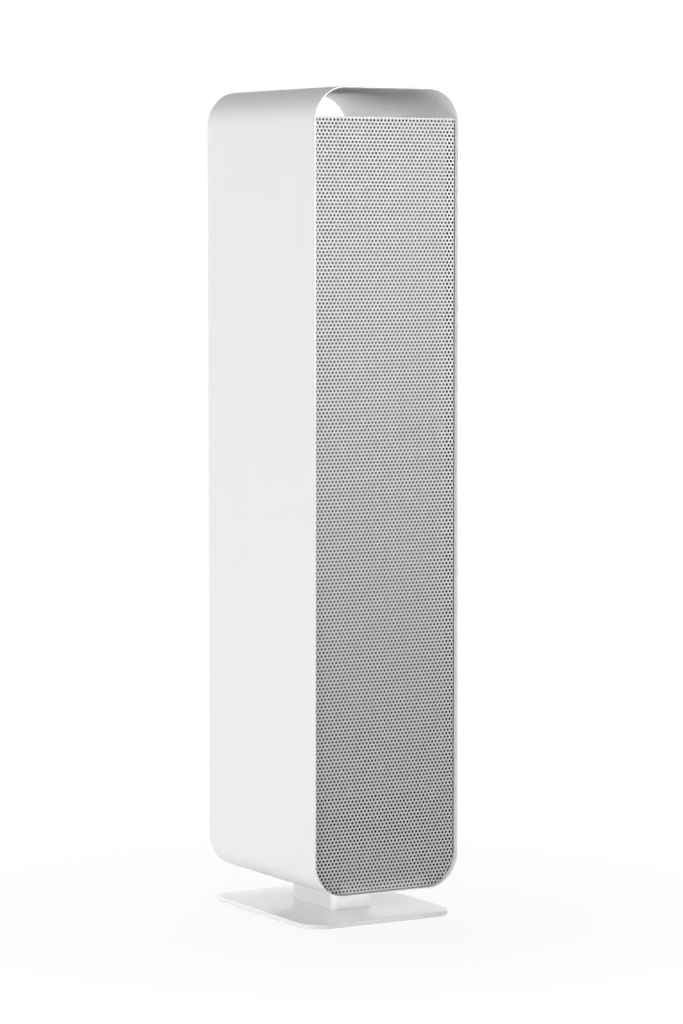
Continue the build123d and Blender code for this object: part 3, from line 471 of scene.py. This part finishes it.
moulded("fan_plastic", (0.045, 0.046, 0.048), 0.5, 1500, 0.00003, dust=0.03)
moulded(
    "control_plastic", (0.018, 0.018, 0.02), 0.22, 2500, 0.000008, coat_weight=0.3, coat_roughness=0.08
)
moulded("button_plastic", (0.34, 0.345, 0.35), 0.4, 2800, 0.00001)
moulded("switch_plastic", (0.02, 0.02, 0.02), 0.5, 2000, 0.00002)
moulded("inlet_plastic", (0.015, 0.015, 0.016), 0.42, 1800, 0.00003)
moulded("sensor_plastic", (0.06, 0.06, 0.065), 0.45, 1800, 0.00003)
moulded("filter_frame", (0.74, 0.74, 0.73), 0.5, 1500, 0.00002, dust=0.04)
moulded(
    "lens_plastic", (0.72, 0.82, 0.79), 0.15, 3000, 0.000004, coat_weight=0.4, coat_roughness=0.04
)
moulded("magnet_rubber", (0.028, 0.026, 0.024), 0.7, 1200, 0.00004, dust=0.08)
moulded("pad_rubber", (0.022, 0.022, 0.022), 0.8, 900, 0.00006, dust=0.08)
print("plastic and rubber:", len(finishes), "finishes so far")

# %% [markdown]
# The filter stack is soft and granular. Fleece is a mat of long fibres that cross each other, so two
# stretched noises are laid over each other; filter paper is the same with shorter fibres. Painted shade
# makes the mat darker towards the bottom, and the fleece's own dark grey is painted shade too. Carbon is
# a bed of black grains, and gasket foam is full of closed cells: both are random cells in relief.

# %% Fibre, grains and foam
FIBRE_STRETCH = 0.15
# Painted shade darkens the mat most at the lower height and fades out at the upper one.
SHADE_DEEPEST_HEIGHT = 0.16
SHADE_FREE_HEIGHT = 0.9


def fibre_mat(slot, colour, scale, depth):
    """Long upright and level fibres that cross, with painted shade that darkens them low down."""
    finish = Finish(slot, colour, 0.92, sheen_weight=0.2)
    along = scale * FIBRE_STRETCH
    upright_place = finish.stretched((scale, scale, along))
    level_place = finish.stretched((along, scale, scale))
    upright = finish.noise(1.0, detail=4.0, rough=0.7, place=upright_place)
    level = finish.noise(1.0, detail=4.0, rough=0.7, place=level_place)
    clump = finish.noise(120, detail=3.0)
    mat = upright * 0.5 + level * 0.5
    # Painted shade: the fibres' tint falls towards the bottom.
    clean_and_unshaded = finish.between(finish.axes()[2], 0.1, 1.05, SHADE_DEEPEST_HEIGHT, SHADE_FREE_HEIGHT)
    finish.tint((mat * 0.7 + clump * 0.3) * clean_and_unshaded, 0.4, 1.25)
    finish.feed("Roughness", finish.between(mat, 0.85, 0.98, 0.3, 0.7))
    finish.bump(mat, depth)


def grains(slot, colour, scale, depth, rough):
    """A bed of rounded grains, each with its own shade."""
    finish = Finish(slot, colour, rough)
    edge = finish.cells(scale)
    shade = finish.grey(finish.cells(scale, out="Color"))
    finish.tint(shade, 0.45, 1.8)
    finish.feed("Roughness", finish.between(shade, rough - 0.15, rough + 0.1))
    finish.bump(1 - edge, depth)


# The fleece's dark grey is painted shade: it stands for the light fleece in shade behind the holes.
fibre_mat("filter_fleece", (0.25, 0.25, 0.247), 1500, 0.0003)
fibre_mat("filter_media", (0.80, 0.80, 0.78), 2200, 0.0001)
grains("carbon", (0.02, 0.02, 0.021), 420, 0.0008, 0.7)
grains("gasket_foam", (0.022, 0.022, 0.022), 900, 0.0003, 0.85)
print("filter finishes:", len(finishes), "finishes so far")

# %% [markdown]
# A circuit board is green lacquer over copper: the tracks show as slightly lighter, raised lines on a
# grid, with bare tinned pads here and there. A Brick pattern gives the tracks, and the middles of
# random cells give the pads.

# %% Circuit board
TRACKS = {"Scale": 120.0, "Mortar Size": 0.08, "Brick Width": 0.9, "Row Height": 0.35}
PAD_REACH = 0.22
TIN = (0.62, 0.6, 0.55)


def circuit_board(slot, colour):
    """Lacquer over raised tracks, with tinned pads."""
    finish = Finish(slot, colour, 0.3, coat_weight=0.3, coat_roughness=0.1)
    track = finish.node("ShaderNodeTexBrick", None, {"Vector": finish.place(), **TRACKS}, "Fac")
    pad = finish.cells(260) < PAD_REACH
    lacquer = finish.mix(track, [c * 0.8 for c in colour], [c * 1.5 for c in colour])
    finish.feed("Base Color", finish.mix(pad, lacquer, TIN))
    finish.feed("Metallic", pad * 0.9)
    finish.feed("Roughness", finish.between(finish.noise(400), 0.22, 0.4))
    finish.bump(track * 0.5 + pad, 0.00004)


circuit_board("circuit_board", (0.012, 0.09, 0.04))
print("all finishes:", sorted(finishes))

# %% [markdown]
# Now every solid part gets the finish of its own slot in the record. The deck and the cover of the
# bottom bay have finishes of their own, because their hidden sides carry a primer of painted shade. The
# parts' meshes are left alone: only what is in their material slots changes.

# %% Dress the solid parts
OWN_FINISH = {"top_deck": "deck_paint", "service_panel": "cover_paint"}
slot_of = {row["node"]: row["material_slot"] for row in frame["record"]["subparts"]}
for node_name, slot_name in slot_of.items():
    part = frame["nodes"][node_name]
    if not part.material_slots:
        part.data.materials.append(None)
    for holder in part.material_slots:
        holder.material = finishes[OWN_FINISH.get(node_name, slot_name)]
print("dressed", len(slot_of), "parts")

# %% [markdown]
# The outer sleeve is a strip of thin sheet bent into a closed loop: a tall rounded rectangle that is
# open at the front and the rear, with a weld that was ground away. It could be drawn as a curve and
# extruded. A block whose four long edges are bevelled, with its front and rear faces removed, gives
# the same loop in fewer steps, and Solidify then gives the sheet its thickness inwards.

# %% Outer sleeve
SHEET_EDGE = 0.3 * MM


def fit(piece, body, slot, *nodes):
    """Give a modelled piece its finish, its body and the solid that it stands for."""
    piece.data.materials.clear()
    piece.data.materials.append(finishes[slot])
    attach(piece, body)
    if nodes:
        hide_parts(*nodes)
    print(piece.name, "rides on", body, "with", triangle_count(piece), "triangles")


sleeve = add_block("sleeve_loop", sleeve_low, sleeve_high)
round_edges(sleeve, lambda place, way: abs(way.y) > 0.9, SLEEVE_RADIUS, 32)
pick(sleeve, "FACE", lambda place, normal: abs(normal.y) > 0.9)
bpy.ops.mesh.delete(type="ONLY_FACE")
bpy.ops.object.mode_set(mode="OBJECT")
modify(sleeve, "SOLIDIFY", thickness=SLEEVE_SHEET, offset=-1, use_even_offset=True)
modify(sleeve, "BEVEL", width=SHEET_EDGE, segments=2, limit_method="ANGLE", angle_limit=radians(50))
polish(sleeve)
fit(sleeve, "cabinet", "sleeve_paint", "outer_sleeve")

# %% [markdown]
# The front and rear panels are perforated sheet: round holes a little over 3 mm wide at 5 mm pitch in
# staggered rows, punched right out to the panel's edge. They could be cut one by one, but it is far
# quicker to model one six-sided cell with a round hole and repeat it, because six-sided cells tile
# without gaps. Two cells, in two neighbouring rows, repeat along straight lines.

# %% Two cells of perforated sheet
HOLE_RADIUS = 1.62 * MM
HOLE_PITCH = 5 * MM
ROW_STEP = HOLE_PITCH * sqrt(3) / 2
UPRIGHT = (pi / 2, 0, 0)


def cell_pair(name, x, y, z):
    """Two neighbouring cells of perforated sheet, one in each of two staggered rows."""
    ring = {"fill_type": "NOTHING", "rotation": UPRIGHT, "location": (x, y, z)}
    start_clean()
    bpy.ops.mesh.primitive_circle_add(vertices=6, radius=HOLE_PITCH / sqrt(3), **ring)
    piece = keep_as(name)
    bpy.ops.object.mode_set(mode="EDIT")
    bpy.ops.mesh.select_all(action="SELECT")
    bpy.ops.mesh.subdivide(number_cuts=1)
    bpy.ops.mesh.primitive_circle_add(vertices=12, radius=HOLE_RADIUS, **ring)
    bpy.ops.mesh.select_all(action="SELECT")
    bpy.ops.mesh.bridge_edge_loops()
    bpy.ops.mesh.select_all(action="SELECT")
    bpy.ops.mesh.duplicate()
    bpy.ops.transform.translate(value=(HOLE_PITCH / 2, 0, -ROW_STEP))
    bpy.ops.object.mode_set(mode="OBJECT")
    return piece


print("holes", round(2 * HOLE_RADIUS / MM, 2), "mm wide, rows", round(ROW_STEP / MM, 2), "mm apart")

# %% [markdown]
# Two Array modifiers repeat the cells, and planes cut the sheet to the panel's outline; a fan of such
# cuts rounds the lower corners of the front panel. Only after that does Solidify give the sheet its
# thickness, so that the cut holes at the edge get walls too. A panel has about eight thousand holes, so
# it is made in four bands that meet between two rows. The front panel's lower edge reaches a millimetre
# below its solid, to sit close above the sleeve's floor.

# %% Perforated panels
PANEL_SHEET = 1.0 * MM
PANEL_CORNER = 39 * MM
SILL_DROP = 1.1 * MM
CORNER_CUTS = 14
TOP_ROW_INSET = 3.9 * MM
BANDS = 4
WELD_REACH = 0.02 * MM
WELDED = {
    "use_relative_offset": False,
    "use_constant_offset": True,
    "use_merge_vertices": True,
    "merge_threshold": WELD_REACH,
}


def cut_away(point, outwards):
    """Cut the whole sheet along a plane and delete what lies outside it."""
    bpy.ops.mesh.select_all(action="SELECT")
    bpy.ops.mesh.bisect(plane_co=point, plane_no=outwards, clear_outer=True)


def round_corner(side, edge, face_y, sill):
    """Cut one lower corner round with a fan of planes."""
    middle = Vector((edge - side * PANEL_CORNER, face_y, sill + PANEL_CORNER))
    for step in range(1, CORNER_CUTS):
        turn = step * pi / 2 / CORNER_CUTS
        outwards = Vector((side * cos(turn), 0, -sin(turn)))
        cut_away(middle + outwards * (PANEL_CORNER + SILL_DROP * sin(turn)), outwards)


def perforated_band(name, low, high, band_top, band_bottom, first_row, facing):
    """One band of a panel between two heights, facing -1 to the front or 1 to the rear."""
    face_y = low.y if facing < 0 else high.y
    columns = ceil((high.x - low.x) / HOLE_PITCH) + 2
    rows = ceil((band_top - band_bottom) / ROW_STEP) + 3
    skip = 2 * int(max(0.0, first_row - band_top) / ROW_STEP / 2)
    top_row = first_row - (skip - 2) * ROW_STEP
    left = -(columns - 1) / 2 * HOLE_PITCH
    piece = cell_pair(name, left, face_y, top_row)
    modify(piece, "ARRAY", count=columns, constant_offset_displace=(HOLE_PITCH, 0, 0), **WELDED)
    modify(piece, "ARRAY", count=rows // 2 + 2, constant_offset_displace=(0, 0, -2 * ROW_STEP), **WELDED)
    bpy.ops.object.mode_set(mode="EDIT")
    bpy.ops.mesh.select_all(action="SELECT")
    bpy.ops.mesh.remove_doubles(threshold=WELD_REACH)
    cut_away((0, face_y, band_top), (0, 0, 1))
    cut_away((0, face_y, band_bottom), (0, 0, -1))
    for side, edge in ((-1, low.x), (1, high.x)):
        cut_away((edge, face_y, 0), (side, 0, 0))
        if band_bottom < low.z + PANEL_CORNER and facing < 0:
            round_corner(side, edge, face_y, low.z)
    bpy.ops.object.mode_set(mode="OBJECT")
    if piece.data.polygons[0].normal.y * facing < 0:
        take(piece)
        bpy.ops.object.mode_set(mode="EDIT")
        bpy.ops.mesh.select_all(action="SELECT")
        bpy.ops.mesh.flip_normals()
        bpy.ops.object.mode_set(mode="OBJECT")
    modify(piece, "SOLIDIFY", thickness=PANEL_SHEET, offset=-1)
    take(piece)
    bpy.ops.object.shade_smooth_by_angle(angle=radians(40))
    return piece


def perforated_panel(node, body, facing):
    """A whole panel in bands that meet between two rows of holes."""
    low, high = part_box(node)
    first_row = high.z - TOP_ROW_INSET
    band_rows = ceil((high.z - low.z) / ROW_STEP / BANDS)
    lowest = low.z - SILL_DROP if facing < 0 else low.z
    for band in range(BANDS):
        top = high.z if band == 0 else first_row - (band * band_rows - 0.5) * ROW_STEP
        bottom = max(lowest, first_row - ((band + 1) * band_rows - 0.5) * ROW_STEP)
        piece = perforated_band(f"{node}_band_{band + 1}", low, high, top, bottom, first_row, facing)
        fit(piece, body, "grille_paint", node)


perforated_panel("front_grille", "front_panel", -1)
perforated_panel("rear_grille", "cabinet", 1)

# %% [markdown]
# The foot is a pedestal of folded plate, welded under the sleeve, and a thick base plate that is
# bolted to it from below. Both are blocks with rounded upright corners and a softened rim. The base
# plate keeps its recesses for the pads and the bolt heads, carved out of the underside, because a
# part like this is also looked at from below.

# %% Pedestal and base plate
PEDESTAL_CORNER = 8 * MM
PEDESTAL_RIM = 0.5 * MM
PLATE_CORNER = 29 * MM
PLATE_RIM = 0.8 * MM
RECESS_GAP = 0.1 * MM
PAD_SIZE = Vector((16, 28, 0)) * MM
BOLT_SPACING = 64 * MM
BOLT_HEAD_REACH = 7.3 * MM
BOLT_HEAD_DEPTH = 3.5 * MM


def upright_edge(place, way):
    """A test for edges that run up and down."""
    return abs(way.z) > 0.9


def softened_block(name, node, corner, rim, segments):
    """A block over a node's box with rounded upright corners and a softened rim."""
    low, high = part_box(node)
    piece = add_block(name, low, high)
    round_edges(piece, upright_edge, corner, segments)
    modify(piece, "BEVEL", width=rim, segments=3, limit_method="ANGLE", angle_limit=radians(50))
    return piece


pedestal = softened_block("pedestal_block", "pedestal", PEDESTAL_CORNER, PEDESTAL_RIM, 10)
polish(pedestal)
fit(pedestal, "cabinet", "foot_paint", "pedestal")

plate = softened_block("base_slab", "base_plate", PLATE_CORNER, PLATE_RIM, 28)
pads_low, pads_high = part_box("foot_pads")
reach = PAD_SIZE / 2 + Vector((RECESS_GAP, RECESS_GAP, 0))
for side in (-1, 1):
    for end in (-1, 1):
        middle = Vector((side * (pads_high.x - PAD_SIZE.x / 2), end * (pads_high.y - PAD_SIZE.y / 2), 0))
        low = Vector((*(middle - reach).xy, pads_low.z - MM))
        high = Vector((*(middle + reach).xy, pads_high.z))
        carve(plate, add_block("pad_recess", low, high))
for end in (-1, 1):
    start_clean()
    bpy.ops.mesh.primitive_cylinder_add(
        vertices=48,
        radius=BOLT_HEAD_REACH,
        depth=2 * BOLT_HEAD_DEPTH,
        location=(0, end * BOLT_SPACING / 2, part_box("base_plate")[0].z),
    )
    carve(plate, keep_as("bolt_recess"))
polish(plate)
fit(plate, "cabinet", "foot_paint", "base_plate")

# %% [markdown]
# The rear panels are held by small button-head screws with a six-sided socket. One is modelled: a
# short cylinder with its rim bevelled into a dome and a socket carved into it. The rest are copies,
# each with its own mesh.

# %% Rear screws
SCREW_RADIUS = 3.4 * MM
SCREW_HEIGHT = 1.8 * MM
SCREW_DOME = 0.8 * SCREW_HEIGHT
SOCKET_RADIUS = 1.5 * MM
SCREW_INSET = 6.5 * MM
CORNER_SCREWS = 78 * MM
MIDDLE_SCREWS = 90 * MM
LOWEST_SCREWS = 50 * MM

rear_low, rear_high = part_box("rear_grille")
service_low, service_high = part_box("service_panel")
rear_y = rear_high.y
screw_rows = (
    (CORNER_SCREWS, rear_high.z - SCREW_INSET),
    (MIDDLE_SCREWS, (rear_low.z + rear_high.z) / 2),
    (CORNER_SCREWS, rear_low.z + SCREW_INSET),
    (CORNER_SCREWS, service_high.z - SCREW_INSET),
    (LOWEST_SCREWS, service_low.z + SCREW_INSET),
)
screw_spots = [(side * x, z) for x, z in screw_rows for side in (-1, 1)]
start_clean()
bpy.ops.mesh.primitive_cylinder_add(
    vertices=32,
    radius=SCREW_RADIUS,
    depth=SCREW_HEIGHT,
    rotation=UPRIGHT,
    location=(0, rear_y + SCREW_HEIGHT / 2, 0),
)
screw = keep_as("screw_pattern")
near_top = rear_y + SCREW_HEIGHT * 0.9
round_edges(screw, lambda place, way: place.y > near_top and abs(way.y) < 0.1, SCREW_DOME, 5)
start_clean()
bpy.ops.mesh.primitive_cylinder_add(
    vertices=6,
    radius=SOCKET_RADIUS,
    depth=SCREW_HEIGHT,
    rotation=UPRIGHT,
    location=(0, rear_y + SCREW_HEIGHT, 0),
)
carve(screw, keep_as("screw_socket"))
polish(screw, 40)
for number, (x, z) in enumerate(screw_spots, 1):
    fit(copy_to(screw, f"rear_screw_{number}", (x, 0, z)), "cabinet", "bolt_steel")
bpy.data.objects.remove(screw)

# %% [markdown]
# The cover of the bottom bay has a foam strip along each side, down and round the corner, that closes
# the gap to the sleeve, so that no light shows through. It is made as the sleeve was: a block with two
# edges bevelled, less the faces that aren't needed, given its thickness inwards.

# %% Foam strips
STRIP_WIDTH = 3 * MM
STRIP_GAP = 0.2 * MM

strip_reach = sleeve_high.x - SLEEVE_SHEET - STRIP_GAP
strip_radius = SLEEVE_RADIUS - SLEEVE_SHEET - STRIP_GAP
strip_floor = sleeve_low.z + SLEEVE_SHEET + STRIP_GAP
strip_rear = service_low.y - STRIP_GAP
strip_low = Vector((-strip_reach, strip_rear - STRIP_WIDTH, strip_floor))
strip_high = Vector((strip_reach, strip_rear, service_high.z - SCREW_INSET))
strips = add_block("bay_strips", strip_low, strip_high)
round_edges(strips, lambda place, way: abs(way.y) > 0.9 and place.z < strip_floor + MM, strip_radius, 16)
pick(strips, "FACE", lambda place, normal: abs(normal.y) > 0.9 or abs(normal.z) > 0.999)
bpy.ops.mesh.delete(type="ONLY_FACE")
bpy.ops.object.mode_set(mode="OBJECT")
modify(strips, "SOLIDIFY", thickness=STRIP_WIDTH, offset=-1, use_even_offset=True)
polish(strips)
fit(strips, "cabinet", "gasket_foam")

# %% [markdown]
# Each key carries a plain raised sign. The signs could be flat paint, but raised ones can be felt and
# catch the light. They are made of two shapes, a bar with rounded corners and a flat disc, and both
# start a little below the key's top, so that no gap shows under them.

# %% Shapes for the key signs
SIGN_RADIUS = 4.2 * MM
SIGN_LINE = 0.9 * MM
SIGN_RAISE = 0.2 * MM
SIGN_SINK = 0.1 * MM
BAR_CORNER = 0.3 * MM


def key_top(node):
    """The middle of a key's upper face, sunk a little so that a sign is rooted in it."""
    low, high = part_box(node)
    return Vector(((low.x + high.x) / 2, (low.y + high.y) / 2, high.z - SIGN_SINK))


def sign_bar(name, middle, length):
    """A bar that runs from front to rear."""
    reach = Vector((SIGN_LINE / 2, length / 2, 0))
    bar = add_block(name, middle - reach, middle + reach + Vector((0, 0, SIGN_SINK + SIGN_RAISE)))
    round_edges(bar, upright_edge, BAR_CORNER, 3)
    return bar


def sign_disc(name, middle, radius, height):
    """A disc that stands on a point."""
    start_clean()
    place = middle + Vector((0, 0, height / 2))
    bpy.ops.mesh.primitive_cylinder_add(vertices=48, radius=radius, depth=height, location=place)
    return keep_as(name)


def join_as(name, pieces):
    """Join pieces into the first one."""
    start_clean()
    for piece in pieces:
        piece.select_set(True)
    bpy.context.view_layer.objects.active = pieces[0]
    bpy.ops.object.join()
    return keep_as(name)


print("signs are", round(SIGN_RAISE / MM, 1), "mm high")

# %% [markdown]
# Power is a broken ring with a bar, the fan's speed is three rising bars, and the night mode is a
# crescent. The ring and the crescent are discs with other discs carved out, which is quicker than
# drawing their outlines.

# %% Key signs
RING_GAP = 1.3 * MM
CUTTER_HEIGHT = 3 * MM
POWER_BAR_SHIFT = 0.7 * SIGN_RADIUS
SPEED_BARS = (0.7, 1.2, 1.7)
MOON_RADIUS = 0.9 * SIGN_RADIUS
BITE_RADIUS = 0.8 * SIGN_RADIUS
BITE_SHIFT = Vector((0.5 * SIGN_RADIUS, 0.3 * SIGN_RADIUS, -MM))

middle = key_top("power_button")
ring = sign_disc("power_ring", middle, SIGN_RADIUS, SIGN_SINK + SIGN_RAISE)
bore = middle - Vector((0, 0, MM))
carve(ring, sign_disc("ring_bore", bore, SIGN_RADIUS - SIGN_LINE, CUTTER_HEIGHT))
gap_low = middle + Vector((-RING_GAP, 0, -MM))
gap_high = middle + Vector((RING_GAP, 2 * SIGN_RADIUS, MM))
carve(ring, add_block("ring_gap", gap_low, gap_high))
bar = sign_bar("power_bar", middle + Vector((0, POWER_BAR_SHIFT, 0)), SIGN_RADIUS)
power_sign = join_as("power_sign", [ring, bar])

middle = key_top("speed_button")
bars = []
for step, share in enumerate(SPEED_BARS):
    length = SIGN_RADIUS * share
    shift = Vector((2 * SIGN_LINE * (step - 1), (length - SIGN_RADIUS * SPEED_BARS[-1]) / 2, 0))
    bars.append(sign_bar(f"speed_bar_{step + 1}", middle + shift, length))
speed_sign = join_as("speed_sign", bars)

middle = key_top("mode_button")
mode_sign = sign_disc("mode_sign", middle, MOON_RADIUS, SIGN_SINK + SIGN_RAISE)
carve(mode_sign, sign_disc("mode_bite", middle + BITE_SHIFT, BITE_RADIUS, CUTTER_HEIGHT))

for sign, key in ((power_sign, "power_key"), (speed_sign, "speed_key"), (mode_sign, "mode_key")):
    polish(sign)
    fit(sign, key, "control_plastic")

# %% [markdown]
# The camera stands where the photograph was taken from: a little left of the front, at about three
# quarters of the tower's height, far away with a long lens so that the upright edges stay nearly
# parallel.

# %% Camera
CAMERA_PLACE = (-2.2841, -3.9154, 0.8452)
CAMERA_TURN = (radians(85.538), 0, radians(-30.41))
CAMERA_LENS = 130.11
SENSOR_WIDTH = 36

start_clean()
bpy.ops.object.camera_add(location=CAMERA_PLACE, rotation=CAMERA_TURN)
camera = bpy.context.object
camera.name = "portrait_camera"
camera.data.lens = CAMERA_LENS
camera.data.sensor_width = SENSOR_WIDTH
bpy.context.scene.camera = camera
print("camera lens", CAMERA_LENS, "mm")

# %% [markdown]
# The stage is a pale floor under a white surround. Rays from the camera, and those that gloss sends
# back, see the surround as plain white. To all other rays it is a weak fill light, brightest at the
# horizon. The floor is a mix of a matt surface, which keeps the object's shadow, and a glow that makes
# it as white as the surround. The matt share is largest beside the object and fades out further away.
# One big lit backdrop would do the same, but would light the object too.

# %% Floor and surround
FLOOR_HALF = 6.0
FLOOR_LEVEL = -0.2 * MM
FLOOR_GLOW = 0.35
SHADOW_GLOW = 0.88
SHADOW_NEAR = 0.12
SHADOW_FAR = 0.6
FILL_LEVEL = 0.12
FILL_TOP = 0.6


def seen_rays(graph):
    """1 for rays that show the background: from the camera, off gloss, or through glass."""
    seen = 0.0
    for kind in ("Camera", "Glossy", "Transmission"):
        seen = graph.node("ShaderNodeLightPath", out=f"Is {kind} Ray").at_least(seen)
    return seen


start_clean()
bpy.ops.mesh.primitive_plane_add(size=2 * FLOOR_HALF, location=(0, 0, FLOOR_LEVEL))
floor = keep_as("studio_floor")
floor_white = Finish("floor_white", (0.9, 0.9, 0.9), 0.9)
floor_white.tint(floor_white.noise(300, detail=2.0), 0.985)
centred = {0: floor_white.place()}
distance = floor_white.node("ShaderNodeVectorMath", {"operation": "LENGTH"}, centred, "Value")
fade = floor_white.between(distance, SHADOW_GLOW, 1.0, SHADOW_NEAR, SHADOW_FAR)
share = fade * floor_white.between(seen_rays(floor_white), FLOOR_GLOW, 1.0)
glow = floor_white.node("ShaderNodeEmission", None, {"Color": (1, 1, 1, 1), "Strength": 1.0})
matt = Wire(floor_white, floor_white.shader.outputs[0])
blend = floor_white.node("ShaderNodeMixShader", None, {0: share, 1: matt, 2: glow})
floor_white.put(floor_white.nodes["Material Output"].inputs["Surface"], blend)
floor.data.materials.append(floor_white.material)

world = bpy.data.worlds.new("white_surround")
bpy.context.scene.world = world
surround = Graph(world)
direction = surround.node("ShaderNodeTexCoord", out="Generated")
height = surround.node("ShaderNodeSeparateXYZ", None, {"Vector": direction}, "Z")
fill = surround.between(height, FILL_LEVEL, 0.0, 0.0, FILL_TOP)
seen = seen_rays(surround)
background = surround.nodes["Background"]
background.inputs["Color"].default_value = (1, 1, 1, 1)
surround.put(background.inputs["Strength"], fill * (1 - seen) + seen)
print("floor and surround ready")

# %% [markdown]
# Soft boxes are area lamps: large and near means soft. A low one on the left lights the white side, and
# one further back at deck height also shines through the arch. In front, a wide box and a gridded beam
# at deck height leave the panel brighter at its top, and a small beam reaches the pedestal under the
# body. The boxes on the right, behind and above keep the other views from being dull. The glossy foot
# and the top's curve would mirror the side, front and top boxes and the beams as white patches, so
# gloss doesn't see those.

# %% Soft boxes
def soft_box(name, place, target, width, height, watts, spread=180, mirrored=True):
    """An area lamp turned towards a target.

    A smaller spread acts as a grid on its front, and gloss only shows a mirrored lamp.
    """
    start_clean()
    turn = (Vector(target) - Vector(place)).to_track_quat("-Z", "Y").to_euler()
    bpy.ops.object.light_add(type="AREA", location=place, rotation=turn)
    lamp = bpy.context.object
    lamp.name = name
    lamp.data.shape = "RECTANGLE"
    lamp.data.size = width
    lamp.data.size_y = height
    lamp.data.energy = watts
    lamp.data.spread = radians(spread)
    lamp.visible_glossy = mirrored


soft_box("side_box", (-1.8, -0.6, 0.26), (0, 0, 0.05), 1.6, 0.5, 5, spread=100, mirrored=False)
soft_box("rear_side_box", (-1.5, 1.6, 1.06), (0, 0, 0.9), 1.0, 0.4, 14)
soft_box("front_box", (-0.8, -2.6, 1.15), (0, 0, 0.75), 1.6, 0.4, 23, mirrored=False)
soft_box("front_beam", (-0.35, -2.4, 1.15), (0, -0.13, 1.0), 0.7, 0.5, 2.3, spread=40, mirrored=False)
soft_box(
    "foot_beam", (0.0, -1.6, 0.16), (0, -0.05, 0.022), 0.12, 0.01, 0.0055, spread=2.4, mirrored=False
)
soft_box("right_box", (2.1, 0.3, 0.85), (0, 0, 0.5), 2.4, 1.6, 20)
soft_box("rear_box", (-0.1, 2.4, 1.3), (0, 0, 0.6), 1.2, 0.8, 15)
soft_box("top_box", (0.9, 1.9, 2.2), (0, 0, 0.7), 1.2, 0.8, 22, mirrored=False)
bpy.context.scene.view_settings.view_transform = "Standard"
print("soft boxes:", len(bpy.data.lights))
